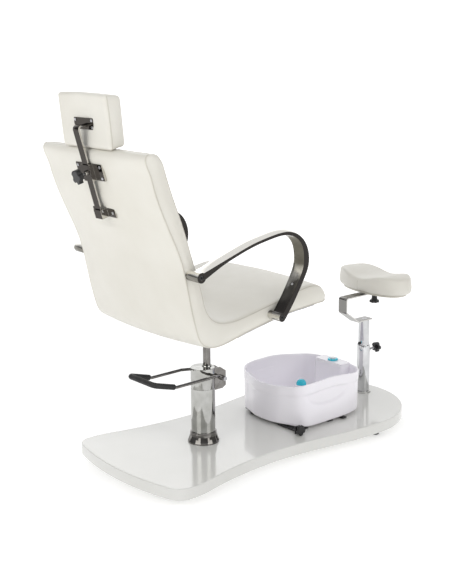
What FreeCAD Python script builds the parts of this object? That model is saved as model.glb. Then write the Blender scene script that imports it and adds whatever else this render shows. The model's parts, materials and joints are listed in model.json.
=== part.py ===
import FreeCAD, Part
import math
import os
from FreeCAD import Vector

# Pedicure spa chair, in millimetres, +Z up, the sitter facing -Y.
# Everything is laid out from the lift piston's axis, where X and Y are 0 and the floor is Z = 0.
# save() then moves each piece by PISTON_Y, which centres the whole chair on the origin.

PISTON_Y = 209.0

# Base board
BOARD_Z = 22.0
BOARD_THICKNESS = 38.0
DECK_Z = BOARD_Z + BOARD_THICKNESS
BOARD_REAR_Y = 372.0
BOARD_REAR_CORNER = (232.0, 342.0)
BOARD_CORNER_CREST = (267.0, 320.0)
BOARD_FRONT_RADIUS = 273.0
BOARD_FRONT_Y = -561.0
BOARD_SIDE = [(277.0, 281.0), (260.0, 175.0), (237.0, 40.0), (228.5, -85.0), (238.0, -235.0),
              (260.0, -380.0), (BOARD_FRONT_RADIUS, BOARD_FRONT_Y)]
FOOT_RADIUS = 16.0
FOOT_PLACES = [(150.0, 275.0), (110.0, -85.0), (226.0, -572.0)]

# Hydraulic pump
COVER_Y = 18.0
COVER_RADIUS = 40.0
COVER_WALL = 2.5
CAP_Z = 246.0
CAP_TOP_Z = 316.0
RING_RADIUS = 52.0
RING_HEIGHT = 38.0
ROD_RADIUS = 12.5
RUNNING_GAP = 0.05
BARREL_RADIUS = 17.8
BARREL_BORE = 15.5
PIVOT_Y = -50.0
PIVOT_Z = 268.0
PIVOT_RADIUS = 5.0
LUG_INNER_X = 12.0
LUG_THICKNESS = 6.0
PLUNGER_Y = PIVOT_Y + 17.0

# Pedal lever
PEDAL_ROD_RADIUS = 5.0
GRIP_RADIUS = 9.0
PEDAL_HALF_WIDTH = 66.0

# Upholstered shell: outline points are (y, z, crown), where crown is the bulge at mid width
SHELL_HALF_WIDTH = 267.0
BACK_OUTLINE = [(413.0, 1049.0, 18.0), (401.0, 1003.0, 23.5), (389.0, 962.0, 23.0), (337.0, 828.0, 25.0),
                (301.0, 735.0, 23.0),
                (283.0, 662.0, 20.0), (268.0, 592.0, 18.0), (250.0, 525.0, 15.0), (232.0, 488.0, 12.0),
                (198.0, 470.0, 9.0), (158.0, 469.0, 7.0), (86.0, 484.0, 4.0), (-36.0, 509.0, 2.0),
                (-120.0, 523.0, 1.0), (-208.0, 530.0, 0.0), (-252.0, 534.0, 0.0)]
FRONT_OUTLINE = [(-254.0, 534.2, 0.0), (-275.0, 537.0, 1.0), (-285.0, 550.0, 3.0), (-279.0, 570.0, 5.0),
                 (-260.0, 587.0, 8.0), (-220.0, 599.0, 10.0), (-163.0, 589.0, 12.0), (-78.0, 573.0, 14.0),
                 (-15.0, 560.0, 14.0), (46.0, 546.0, 12.0), (105.0, 539.0, 8.0), (156.0, 542.0, 4.0),
                 (194.0, 566.0, 2.0), (216.0, 606.0, 4.0), (227.0, 655.0, 10.0), (247.0, 720.0, 14.0),
                 (271.0, 790.0, 15.0), (314.0, 888.0, 15.0), (345.0, 960.0, 14.0), (377.0, 1043.0, 8.0)]
BACK_BOARD_THICKNESS = 12.0
SOFT_GAP = 0.3
CROWN_STATIONS = (-1.0, -0.6, 0.0, 0.6, 1.0)

# Seat mount
MOUNT_SLOPE = math.degrees(math.atan(0.195))
MOUNT_Z = 499.0
MOUNT_PLATE = 5.0
HUB_RADIUS = 24.0
ROD_TOP_Z = 482.0

# Armrests: outer edge of the band, from the rear boss over the top to the front boss
ARM_OUTER_X = 322.0
ARM_WIDTH = 45.0
ARM_REAR_BOSS = (273.0, 703.0)
ARM_FRONT_BOSS = (-38.0, 534.0)
ARM_REAR_BOSS_RADIUS = 15.5
ARM_FRONT_BOSS_RADIUS = 13.5
# Outer edge of the band: y, z, thickness at the band's edges and extra thickness in its middle
ARM_CURVE = [(275.0, 713.0, 22.0, 1.0), (244.0, 723.0, 17.0, 4.0), (196.0, 739.0, 11.0, 8.0),
             (141.0, 757.0, 9.0, 9.0), (79.0, 776.0, 9.0, 9.0), (16.0, 789.0, 9.0, 9.0),
             (-38.0, 796.0, 9.5, 9.0), (-75.0, 793.0, 10.5, 8.0), (-106.0, 780.0, 12.5, 6.0),
             (-131.0, 757.0, 16.0, 4.0), (-145.0, 728.0, 20.0, 3.0), (-149.0, 700.0, 22.0, 3.0),
             (-144.0, 672.0, 21.0, 3.0), (-128.0, 641.0, 19.0, 3.0), (-106.0, 605.0, 18.0, 3.0),
             (-84.0, 572.0, 18.0, 2.0), (-64.0, 545.0, 18.0, 1.0), (-50.0, 527.0, 17.0, 0.0)]
ARM_STATIONS = (-1.0, -0.72, 0.0, 0.72, 1.0)

# Headrest: the strap slides along STRAP_LEAN from the vertical
STRAP_LEAN = math.degrees(math.atan(0.28))
STRAP_WIDTH = 30.0
STRAP_THICKNESS = 5.0
STRAP_POINT = (432.0, 986.0)
STRAP_TOP_Z = 1121.0
STRAP_BOTTOM_Z = 850.0
HEADREST_HALF_WIDTH = 121.0
HEADREST_OUTLINE = [(443.0, 1207.0), (428.0, 1062.0), (382.0, 1070.0), (404.0, 1201.0)]
HEADREST_LEAN = math.degrees(math.atan(15.0 / 145.0))
CLAMP_KNOB_OFFSET = 28.0
CLAMP_FACE = -9.8
CLAMP_PLATE = 9.0
GUIDE_Z = 862.0
GUIDE_SURFACE_Y = 375.0

# Footrest
POST_Y = -754.0
POST_RADIUS = 24.0
POST_TOP_Z = 243.0
INNER_TUBE_RADIUS = 20.0
INNER_TUBE_TOP_Z = 339.4
PIVOT_SCREW_RADIUS = 10.0
BRACKET_WIDTH = 40.0
BRACKET_THICKNESS = 5.0
BRACKET_PATH = [(-778.0, 342.0), (-704.0, 342.0), (-640.0, 386.0), (-640.0, 439.0), (-834.0, 439.0)]
PAD_Y = -808.0
PAD_LENGTH = 340.0
PAD_DEPTH = 168.0
PAD_SQUARENESS = 2.3
PAD_TURN = -8.0
PAD_Z = 454.0
PAD_HEIGHT = 61.0
POST_KNOB_Z = 220.0

# Foot bath
TUB_Z = 70.0
TUB_WALL = 4.0
TUB_FLOOR = 5.0
TUB_HALF_WIDTH = 165.0
TUB_REAR_Y = -246.0
TUB_FRONT_Y = -618.0
TUB_BAND = 33.0
TUB_BAND_STEP = 1.5
TUB_GRIP = (-396.0, 196.0)
DIAL_Y = TUB_FRONT_Y + 27.0
TUB_RIM = [(-200.0, 203.0), (-246.0, 204.0), (-290.0, 215.0), (-340.0, 224.0), (-430.0, 228.0),
           (-510.0, 219.0), (-560.0, 213.0), (-640.0, 213.0)]
TUB_CENTRE_Y = (TUB_REAR_Y + TUB_FRONT_Y) / 2
PANEL_HALF_WIDTH = 66.0
PANEL_DEPTH = 52.0
PANEL_Z = 214.0
TRAY_Z = 63.0
BAR_PLACES = (-253.0, -482.0)


def save(name, shape):
    """Write one piece, moved from the piston's frame to the chair's own."""
    placed = shape.copy()
    placed.translate(Vector(0, PISTON_Y, 0))
    placed.exportStep("parts/" + name + ".step")


def cylinder(radius, low, high, x=0.0, y=0.0):
    """An upright cylinder."""
    return Part.makeCylinder(radius, high - low, Vector(x, y, low))


def across(radius, x0, x1, y, z):
    """A cylinder along X."""
    return Part.makeCylinder(radius, x1 - x0, Vector(x0, y, z), Vector(1, 0, 0))


def box(x0, x1, y0, y1, z0, z1):
    return Part.makeBox(x1 - x0, y1 - y0, z1 - z0, Vector(x0, y0, z0))


def turned(points, y=0.0):
    """A solid of revolution about the upright axis at y, from (radius, z) points."""
    wire = Part.makePolygon([Vector(r, y, z) for r, z in points + points[:1]])
    return Part.Face(wire).revolve(Vector(0, y, 0), Vector(0, 0, 1), 360)


def mirrored(shape):
    return shape.mirror(Vector(0, 0, 0), Vector(1, 0, 0))


def prism(points, x0, x1):
    """A flat plate across X with a (y, z) outline of straight sides."""
    wire = Part.makePolygon([Vector(x0, y, z) for y, z in points + points[:1]])
    return Part.Face(wire).extrude(Vector(x1 - x0, 0, 0))


def curve_through(points, first=None, last=None):
    """A smooth curve through points, with end directions where they are given."""
    curve = Part.BSplineCurve()
    if first is None:
        curve.interpolate(points)
    else:
        curve.interpolate(Points=points, InitialTangent=first, FinalTangent=last)
    return curve


def rounded_path(points, radius):
    """A wire of straight runs joined by arcs of one radius."""
    edges = []
    start = points[0]
    for here, after in zip(points[1:-1], points[2:]):
        run_in = (here - start).normalize()
        run_out = (after - here).normalize()
        turn = run_in.getAngle(run_out)
        cut = radius * math.tan(turn / 2)
        a = here - run_in * cut
        b = here + run_out * cut
        inward = (run_out - run_in).normalize()
        centre = here + inward * (radius / math.cos(turn / 2))
        edges.append(Part.LineSegment(start, a).toShape())
        edges.append(Part.Arc(a, centre - inward * radius, b).toShape())
        start = b
    edges.append(Part.LineSegment(start, points[-1]).toShape())
    return Part.Wire(edges)


def bent_bar(path, width, thickness, radius):
    """A flat bar of width across X, bent along a (y, z) centre line."""
    points = [Vector(0, y, z) for y, z in path]
    spine = rounded_path(points, radius)
    run = (points[1] - points[0]).normalize()
    side = Vector(0, -run.z, run.y) * (thickness / 2)
    half = Vector(width / 2, 0, 0)
    corners = [points[0] + side + half, points[0] + side - half, points[0] - side - half,
               points[0] - side + half]
    section = Part.makePolygon(corners + corners[:1])
    return spine.makePipeShell([section], True, False, 2)


def round_bar(path, radius, bend):
    """A round rod along a path of straight runs and bends."""
    spine = rounded_path(path, bend)
    run = (path[1] - path[0]).normalize()
    section = Part.Wire(Part.makeCircle(radius, path[0], run))
    return spine.makePipeShell([section], True, False, 2)


def star_knob(radius, thickness, lobes=5):
    """A star knob on +Z, with its hub below it: lobes with finger hollows between them."""
    body = Part.makeCylinder(radius, thickness, Vector(0, 0, 0))
    hollow = radius * 0.36
    for i in range(lobes):
        angle = 2 * math.pi * i / lobes
        at = Vector(math.cos(angle), math.sin(angle), 0) * (radius * 1.12)
        body = body.cut(Part.makeCylinder(hollow, thickness, at))
    rims = [e for e in body.Edges if e.Length > 2 and abs(e.CenterOfMass.z - thickness) < 0.01]
    body = body.makeFillet(thickness * 0.15, rims)
    hub = Part.makeCylinder(radius * 0.45, thickness * 0.5, Vector(0, 0, -thickness * 0.5))
    return body.fuse(hub).removeSplitter()


def aimed(shape, direction, place):
    """Turn a shape made along +Z to point along a direction, at a place."""
    turn = FreeCAD.Rotation(Vector(0, 0, 1), direction)
    result = shape.copy()
    result.Placement = FreeCAD.Placement(place, turn).multiply(result.Placement)
    return result


# ---------------------------------------------------------------- base board


def board_outline(inset=0.0):
    """Half of the board's plan: gently round rear, corner, waisted side and round front."""
    rear = Vector(0, BOARD_REAR_Y, 0)
    corner = Vector(BOARD_REAR_CORNER[0], BOARD_REAR_CORNER[1], 0)
    crest = Vector(BOARD_CORNER_CREST[0], BOARD_CORNER_CREST[1], 0)
    side = [Vector(x, y, 0) for x, y in BOARD_SIDE]
    left = Vector(-corner.x, corner.y, 0)
    edges = [Part.Arc(left, rear, corner).toShape(), Part.Arc(corner, crest, side[0]).toShape()]
    side_curve = curve_through(side, Vector(0.05, -1, 0), Vector(0, -1, 0))
    edges.append(side_curve.toShape())
    front = Vector(0, BOARD_FRONT_Y - BOARD_FRONT_RADIUS, 0)
    edges.append(Part.Arc(side[-1], front, Vector(-side[-1].x, side[-1].y, 0)).toShape())
    edges.append(mirrored(side_curve.toShape()))
    edges.append(mirrored(edges[1]))
    return Part.Wire(Part.__sortEdges__(edges))


def base_board():
    plan = Part.Face(board_outline())
    plan.translate(Vector(0, 0, BOARD_Z))
    board = plan.extrude(Vector(0, 0, BOARD_THICKNESS))
    rims = [e for e in board.Edges if abs(e.BoundBox.ZMax - e.BoundBox.ZMin) < 0.01]
    board = board.makeFillet(3.0, rims)
    for x, y in floor_bolt_places():
        board = board.cut(cylinder(3.1, DECK_Z - 22, DECK_Z + 1, x, y))
    return board


def base_feet():
    feet = []
    for x, y in FOOT_PLACES:
        for side in (1, -1):
            foot = cylinder(FOOT_RADIUS, 0, BOARD_Z, side * x, y)
            feet.append(foot.makeFillet(2.0, [e for e in foot.Edges if e.BoundBox.ZMax < 1]))
    return Part.makeCompound(feet)


# ---------------------------------------------------------------- hydraulic pump


def floor_bolt_places():
    places = []
    for degrees in (-20, 20, 160, 200):
        angle = math.radians(degrees)
        places.append((30 * math.cos(angle), COVER_Y + 30 * math.sin(angle)))
    return places


def pump_base_ring():
    inner = COVER_RADIUS + 0.1
    low = DECK_Z
    points = [(inner, low), (RING_RADIUS, low), (RING_RADIUS, low + 5), (RING_RADIUS - 1.5, low + 8),
              (47.5, low + 16), (44.8, low + 24), (44.0, low + 30), (44.0, low + RING_HEIGHT - 2),
              (42.5, low + RING_HEIGHT), (inner, low + RING_HEIGHT)]
    return turned(points, COVER_Y)


def pump_cover():
    tube = cylinder(COVER_RADIUS, DECK_Z, CAP_Z, 0, COVER_Y)
    return tube.cut(cylinder(COVER_RADIUS - COVER_WALL, DECK_Z, CAP_Z, 0, COVER_Y))


def pump_cap():
    cap = cylinder(COVER_RADIUS, CAP_Z, CAP_TOP_Z, 0, COVER_Y)
    cap = cap.makeFillet(2.0, [e for e in cap.Edges if e.BoundBox.ZMin > CAP_TOP_Z - 1])
    cap = cap.cut(cylinder(COVER_RADIUS - 4, CAP_Z, CAP_TOP_Z - 10, 0, COVER_Y))
    return cap.cut(cylinder(ROD_RADIUS + RUNNING_GAP, CAP_Z, CAP_TOP_Z, 0, 0))


def pump_wiper():
    """The collar that the rod runs through on top of the cap."""
    points = [(ROD_RADIUS + RUNNING_GAP, CAP_TOP_Z), (17.0, CAP_TOP_Z), (16.0, CAP_TOP_Z + 3),
              (14.0, CAP_TOP_Z + 5), (ROD_RADIUS + RUNNING_GAP, CAP_TOP_Z + 5)]
    return turned(points)


def pump_bracket():
    """Two lugs on a saddle, on the cap's front."""
    lug_end = PIVOT_Y - 16
    outline = [(-10, 232), (PIVOT_Y - 2, 232), (lug_end, 240), (lug_end, 290), (PIVOT_Y + 6, 306), (-10, 306)]
    lug = prism(outline, LUG_INNER_X, LUG_INNER_X + LUG_THICKNESS)
    saddle = box(-LUG_INNER_X - LUG_THICKNESS, LUG_INNER_X + LUG_THICKNESS, -26, -8, 232, 306)
    bracket = saddle.fuse([lug, mirrored(lug)])
    bracket = bracket.cut(cylinder(COVER_RADIUS + 0.05, 220, 320, 0, COVER_Y))
    bracket = bracket.cut(across(PIVOT_RADIUS + RUNNING_GAP, -30, 30, PIVOT_Y, PIVOT_Z))
    shelf = box(-LUG_INNER_X, LUG_INNER_X, PLUNGER_Y - 9, -22.5, 236, 248)
    shelf = shelf.cut(cylinder(4 + RUNNING_GAP, 230, 250, 0, PLUNGER_Y))
    return bracket.fuse(shelf).removeSplitter()


def pump_plunger():
    """The pin that the pedal's cam presses down through the bracket's shelf."""
    stem = cylinder(4.0, 226, 257, 0, PLUNGER_Y)
    return stem.fuse(cylinder(6.0, 257, 260.5, 0, PLUNGER_Y)).removeSplitter()


def pump_cylinder():
    """The inner barrel, with a floor and a gland that guides the rod."""
    low = DECK_Z + 8
    high = CAP_TOP_Z - 14
    barrel = cylinder(BARREL_RADIUS, low, high).cut(cylinder(BARREL_BORE, low + 8, high))
    gland = cylinder(BARREL_BORE, high - 16, high).cut(cylinder(ROD_RADIUS + RUNNING_GAP, high - 16, high))
    return barrel.fuse(gland).removeSplitter()


def pump_floor_plate():
    plate = cylinder(36.5, DECK_Z, DECK_Z + 8, 0, COVER_Y)
    for x, y in floor_bolt_places():
        plate = plate.cut(cylinder(3.1, DECK_Z, DECK_Z + 8, x, y))
    return plate


def pump_floor_bolts():
    bolts = []
    for x, y in floor_bolt_places():
        shank = cylinder(3.0, DECK_Z - 20, DECK_Z + 8, x, y)
        head = Part.Face(Part.makePolygon(hexagon(5.0, x, y, DECK_Z + 8))).extrude(Vector(0, 0, 4))
        bolts.append(shank.fuse(head).removeSplitter())
    return Part.makeCompound(bolts)


def hexagon(radius, x, y, z):
    corners = [Vector(x + radius * math.cos(math.pi * i / 3), y + radius * math.sin(math.pi * i / 3), z)
               for i in range(6)]
    return corners + corners[:1]


def piston_rod():
    """Chrome rod with its head in the barrel and its top in the seat's hub."""
    rod = cylinder(ROD_RADIUS, 150, ROD_TOP_Z)
    return rod.fuse(cylinder(BARREL_BORE - RUNNING_GAP, 150, 164)).removeSplitter()


# ---------------------------------------------------------------- pedal


def pedal_side():
    """Centre line of one arm, from the pivot round the cover to the back."""
    wide = PEDAL_HALF_WIDTH
    return [Vector(24, PIVOT_Y + 2, PIVOT_Z + 1), Vector(27, PIVOT_Y + 22, 281), Vector(56, 12, 294),
            Vector(wide, 55, 297), Vector(wide, 176, 296), Vector(wide, 262, 320)]


def pedal_lever():
    arm = pedal_side()
    other = [Vector(-p.x, p.y, p.z) for p in reversed(arm)]
    rod = round_bar(arm + other, PEDAL_ROD_RADIUS, 14.0)
    eye = across(9.0, 19, 29, PIVOT_Y, PIVOT_Z)
    lever = rod.fuse([eye, mirrored(eye)])
    return lever.cut(pedal_pivot_bolt()).removeSplitter()


def pedal_grip():
    """Rubber sleeve over the U end of the lever."""
    wide = PEDAL_HALF_WIDTH
    run = (Vector(wide, 262, 320) - Vector(wide, 176, 296)).normalize()
    start = Vector(wide, 176, 296) + run * 10
    path = [start, Vector(wide, 262, 320), Vector(-wide, 262, 320), Vector(-start.x, start.y, start.z)]
    sleeve = round_bar(path, GRIP_RADIUS, 14.0)
    return sleeve.cut(round_bar(path, PEDAL_ROD_RADIUS, 14.0))


def pedal_pivot_bolt():
    """Cross bolt with a hex head on one side and a hex nut on the other."""
    shank = across(PIVOT_RADIUS, -35, 35, PIVOT_Y, PIVOT_Z)
    nut = Part.Face(Part.makePolygon(hexagon(8.0, 0, 0, 0))).extrude(Vector(0, 0, 6))
    right = aimed(nut, Vector(1, 0, 0), Vector(29, PIVOT_Y, PIVOT_Z))
    return shank.fuse([right, mirrored(right)]).removeSplitter()


def pedal_cam():
    """Short arm on the cross bolt, between the lugs, that presses the plunger."""
    half = LUG_INNER_X - 1
    nose = across(5.0, -half, half, PLUNGER_Y, PIVOT_Z - 2.4)
    hub = across(9.0, -half, half, PIVOT_Y, PIVOT_Z)
    web = box(-half, half, PIVOT_Y, PLUNGER_Y, PIVOT_Z - 6, PIVOT_Z + 3)
    cam = hub.fuse([nose, web])
    return cam.cut(across(PIVOT_RADIUS, -half, half, PIVOT_Y, PIVOT_Z)).removeSplitter()


# ---------------------------------------------------------------- upholstered shell


def crowned(outline, station, outward):
    """Outline points at a station across the width, pushed out along the curve's normal."""
    flat = curve_through([Vector(0, y, z) for y, z, _ in outline])
    x = station * SHELL_HALF_WIDTH
    points = []
    for y, z, crown in outline:
        at = Vector(0, y, z)
        tangent = flat.tangent(flat.parameter(at))[0]
        normal = Vector(0, tangent.z, -tangent.y)
        points.append(Vector(x, 0, 0) + at + normal * (outward * crown * (1 - station * station)))
    return points


def board_inner(station):
    """Inner face of the back board, which is straight across the width."""
    flat = curve_through([Vector(0, y, z) for y, z, _ in BACK_OUTLINE])
    x = station * SHELL_HALF_WIDTH
    points = []
    for y, z, _ in BACK_OUTLINE:
        at = Vector(0, y, z)
        tangent = flat.tangent(flat.parameter(at))[0]
        normal = Vector(0, tangent.z, -tangent.y)
        points.append(Vector(x, 0, 0) + at + normal * BACK_BOARD_THICKNESS)
    return points


def closed_section(first, second):
    """A closed wire of two smooth curves and the lines between their ends."""
    edges = [curve_through(first).toShape(), Part.LineSegment(first[-1], second[0]).toShape(),
             curve_through(second).toShape(), Part.LineSegment(second[-1], first[0]).toShape()]
    return Part.Wire(edges)


def back_board():
    """The bent board behind the back and under the seat, with its crowned padding."""
    sections = []
    for station in CROWN_STATIONS:
        outer = crowned(BACK_OUTLINE, station, -1.0)
        inner = board_inner(station)
        sections.append(closed_section(outer, inner[::-1]))
    return Part.makeLoft(sections, True, False)


def seat_cushion():
    """The one-piece seat and back upholstery in front of the board."""
    sections = []
    for station in CROWN_STATIONS:
        front = crowned(FRONT_OUTLINE, station, -1.0)
        inner = board_inner(station)
        shift = Vector(0, -SOFT_GAP, SOFT_GAP)
        inner = [p + shift for p in inner]
        sections.append(closed_section(front, inner))
    return Part.makeLoft(sections, True, False)


def frame_bar(y, z, depth, height, half=SHELL_HALF_WIDTH - 12.0):
    return box(-half, half, y - depth / 2, y + depth / 2, z - height / 2, z + height / 2)


FRAME_BARS = {"frame_bar_headrest": (378.0, 985.0, 16.0, 40.0),
              "frame_bar_lumbar": (331.0, 856.0, 16.0, 30.0),
              "frame_bar_arm_rear": (274.0, 703.0, 16.0, 26.0),
              "frame_bar_arm_front": (-38.0, 531.0, 26.0, 24.0)}


# ---------------------------------------------------------------- seat mount


def tilted(shape):
    """Lean a shape made level at MOUNT_Z to lie against the seat's underside."""
    result = shape.copy()
    result.rotate(Vector(0, 0, MOUNT_Z), Vector(1, 0, 0), -MOUNT_SLOPE)
    return result


def seat_mount():
    """Plate under the seat, with the hub that turns on the rod's top welded to it."""
    plate = box(-90, 90, -105, 105, MOUNT_Z - MOUNT_PLATE, MOUNT_Z)
    plate = plate.makeFillet(12.0, [e for e in plate.Edges if abs(e.BoundBox.ZLength - MOUNT_PLATE) < 0.01])
    hub = cylinder(HUB_RADIUS, 440, 520)
    hub = hub.cut(tilted(box(-150, 150, -150, 150, MOUNT_Z - 1, MOUNT_Z + 90)))
    mount = tilted(plate).fuse(hub).removeSplitter()
    return mount.cut(cylinder(ROD_RADIUS + RUNNING_GAP, 430, ROD_TOP_Z + 1))


def mount_bolts():
    bolts = []
    for x in (-75, 75):
        for y in (-88, 88):
            bolt = cylinder(3.5, MOUNT_Z - MOUNT_PLATE, MOUNT_Z + 8, x, y)
            head = cylinder(7.0, MOUNT_Z - MOUNT_PLATE - 5, MOUNT_Z - MOUNT_PLATE, x, y)
            bolts.append(tilted(bolt.fuse(head).removeSplitter()))
    return bolts


# ---------------------------------------------------------------- armrests


def offset_points(points, distances):
    """Points moved sideways from a smooth curve through them, each by its own distance."""
    curve = curve_through(points)
    moved = []
    for at, distance in zip(points, distances):
        tangent = curve.tangent(curve.parameter(at))[0]
        moved.append(at + Vector(0, -tangent.z, tangent.y) * distance)
    return moved


def arm_band():
    """The loop's band: flat inside the loop and crowned outside it."""
    sections = []
    for station in ARM_STATIONS:
        x = ARM_OUTER_X - ARM_WIDTH / 2 * (1 - station)
        edge = [Vector(x, y, z) for y, z, thickness, crown in ARM_CURVE]
        outer = offset_points(edge, [-crown * (1 - station ** 2) for y, z, thickness, crown in ARM_CURVE])
        inner = offset_points(edge, [thickness for y, z, thickness, crown in ARM_CURVE])
        sections.append(closed_section(outer, inner[::-1]))
    return Part.makeLoft(sections, True)


def armrest():
    """The +X armrest: one band with a boss at each end, drilled for its bolts."""
    inner_x = SHELL_HALF_WIDTH + SOFT_GAP
    band = arm_band()
    bosses = []
    for (y, z), radius in ((ARM_REAR_BOSS, ARM_REAR_BOSS_RADIUS), (ARM_FRONT_BOSS, ARM_FRONT_BOSS_RADIUS)):
        bosses.append(across(radius, inner_x, ARM_OUTER_X, y, z))
    arm = band.fuse(bosses)
    for y, z in (ARM_REAR_BOSS, ARM_FRONT_BOSS):
        arm = arm.cut(across(4.1, inner_x - 1, ARM_OUTER_X + 1, y, z))
        arm = arm.cut(across(7.5, ARM_OUTER_X - 9, ARM_OUTER_X + 1, y, z))
    return arm.removeSplitter()


def arm_bolts():
    """Socket-head bolts through the bosses into the shell's cross bars."""
    bolts = []
    for y, z in (ARM_REAR_BOSS, ARM_FRONT_BOSS):
        shank = across(4.0, SHELL_HALF_WIDTH - 24, ARM_OUTER_X - 9, y, z)
        head = across(7.0, ARM_OUTER_X - 9, ARM_OUTER_X - 2, y, z)
        socket = aimed(Part.Face(Part.makePolygon(hexagon(3.6, 0, 0, 0))).extrude(Vector(0, 0, 5)),
                       Vector(1, 0, 0), Vector(ARM_OUTER_X - 6, y, z))
        bolt = shank.fuse(head).removeSplitter().cut(socket)
        bolts += [bolt, mirrored(bolt)]
    return bolts


# ---------------------------------------------------------------- headrest


def strap_y(z):
    """Rear face of the straight part of the strap at a height."""
    return STRAP_POINT[0] + (z - STRAP_POINT[1]) * math.tan(math.radians(STRAP_LEAN))


def strap_frame(shape, z, stand_off=0.0):
    """Place a shape made along +Z (up the strap) and +Y (rearward) at a height on the strap."""
    result = shape.copy()
    result.rotate(Vector(0, 0, 0), Vector(1, 0, 0), -STRAP_LEAN)
    lean = math.radians(STRAP_LEAN)
    out = Vector(0, math.cos(lean), -math.sin(lean)) * stand_off
    result.translate(Vector(0, strap_y(z), z) + out)
    return result


def headrest_plate_y(z):
    """Rear face of the headrest at a height."""
    low_y, low_z = HEADREST_OUTLINE[1][:2]
    return low_y + (z - low_z) * math.tan(math.radians(HEADREST_LEAN))


def headrest_strap():
    half = STRAP_THICKNESS / 2
    path = [(headrest_plate_y(STRAP_TOP_Z) + 3.6, STRAP_TOP_Z), (strap_y(STRAP_TOP_Z) - half, STRAP_TOP_Z),
            (strap_y(STRAP_BOTTOM_Z) - half, STRAP_BOTTOM_Z)]
    return bent_bar(path, STRAP_WIDTH, STRAP_THICKNESS, 9.0)


def on_headrest(shape, z, stand_off=0.0):
    """Place a shape made along +Z (up) and +Y (rearward) on the headrest's rear face."""
    result = shape.copy()
    result.rotate(Vector(0, 0, 0), Vector(1, 0, 0), -HEADREST_LEAN)
    result.translate(Vector(0, headrest_plate_y(z) + stand_off, z))
    return result


def headrest_plate():
    plate = box(-50, 50, 0, 3, -16.5, 16.5)
    plate = plate.makeFillet(4.0, [e for e in plate.Edges if abs(e.BoundBox.YLength - 3) < 0.01])
    return on_headrest(plate, 1127.5, 0.3)


def headrest_plate_screws():
    screws = []
    for x in (-42, 42):
        for z in (-10, 10):
            head = Part.makeCylinder(4.5, 2.2, Vector(x, 3.1, z), Vector(0, 1, 0))
            head = head.makeFillet(1.2, [e for e in head.Edges if e.BoundBox.YMin > 5.2])
            screws.append(on_headrest(head, 1127.5, 0.3))
    return Part.makeCompound(screws)


def headrest_cushion():
    half = HEADREST_HALF_WIDTH
    pad = prism(HEADREST_OUTLINE, -half, half)
    return pad.makeFillet(10.0, pad.Edges)


def headrest_clamp():
    """Sleeve round the strap on a screw plate, which is let into the back's padding."""
    sleeve = box(-22, 22, CLAMP_FACE - 3, 4, -25, 25)
    slot = box(-STRAP_WIDTH / 2 - 0.4, STRAP_WIDTH / 2 + 0.4, -STRAP_THICKNESS - 0.4, 0.4, -26, 26)
    flange = box(-66, 66, CLAMP_FACE - CLAMP_PLATE, CLAMP_FACE, -25, 25)
    clamp = sleeve.fuse(flange).cut(slot)
    nut = Part.makeCylinder(8.0, 7.0, Vector(0, 4, 0), Vector(0, 1, 0))
    clamp = clamp.fuse(nut)
    clamp = clamp.cut(Part.makeCylinder(4.05, 14.0, Vector(0, 0, 0), Vector(0, 1, 0)))
    return strap_frame(clamp.removeSplitter(), STRAP_POINT[1])


def clamp_pocket():
    """Room for the clamp's plate, open towards the rear."""
    return strap_frame(box(-66, 66, CLAMP_FACE - CLAMP_PLATE, 30, -25, 25), STRAP_POINT[1])


def headrest_guide():
    """Lower omega bracket that holds the strap's end away from the back."""
    depth = strap_y(GUIDE_Z) - GUIDE_SURFACE_Y
    inner = STRAP_WIDTH / 2 + 0.5
    cross = [(-57, -depth), (-57, -depth + 3), (-inner - 3, -depth + 3), (-inner - 3, 4), (inner + 3, 4),
             (inner + 3, -depth + 3), (57, -depth + 3), (57, -depth), (inner, -depth), (inner, 0.5),
             (-inner, 0.5), (-inner, -depth)]
    wire = Part.makePolygon([Vector(x, y, -14) for x, y in cross + cross[:1]])
    omega = Part.Face(wire).extrude(Vector(0, 0, 28))
    return strap_frame(omega, GUIDE_Z)


def back_screw(x, face, z):
    """One round-head screw, its shank going forward into the board."""
    head = Part.makeCylinder(4.5, 2.2, Vector(x, face, z), Vector(0, 1, 0))
    head = head.makeFillet(1.2, [e for e in head.Edges if e.BoundBox.YMin > face + 2])
    return head.fuse(Part.makeCylinder(2.0, 14.0, Vector(x, face - 14.0, z), Vector(0, 1, 0))).removeSplitter()


def back_screws():
    """Screw heads of the clamp and of the lower guide."""
    heads = []
    for x in (-56, 56):
        for z in (-17, 17):
            heads.append(strap_frame(back_screw(x, CLAMP_FACE, z), STRAP_POINT[1]))
    guide_face = GUIDE_SURFACE_Y - strap_y(GUIDE_Z) + 3
    for x in (-44, 44):
        heads.append(strap_frame(back_screw(x, guide_face, 0), GUIDE_Z))
    return heads


def knob_on_strap(shape, stand_off):
    """Turn a shape made along +Z to stand out from the strap's clamp."""
    upright = shape.copy()
    upright.rotate(Vector(0, 0, 0), Vector(1, 0, 0), -90)
    return strap_frame(upright, STRAP_POINT[1], stand_off)


def headrest_knob():
    return knob_on_strap(star_knob(22.0, 14.0), CLAMP_KNOB_OFFSET)


def headrest_knob_screw():
    return knob_on_strap(Part.makeCylinder(4.0, CLAMP_KNOB_OFFSET - 7.2, Vector(0, 0, 0.2)), 0.0)


# ---------------------------------------------------------------- footrest


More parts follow.
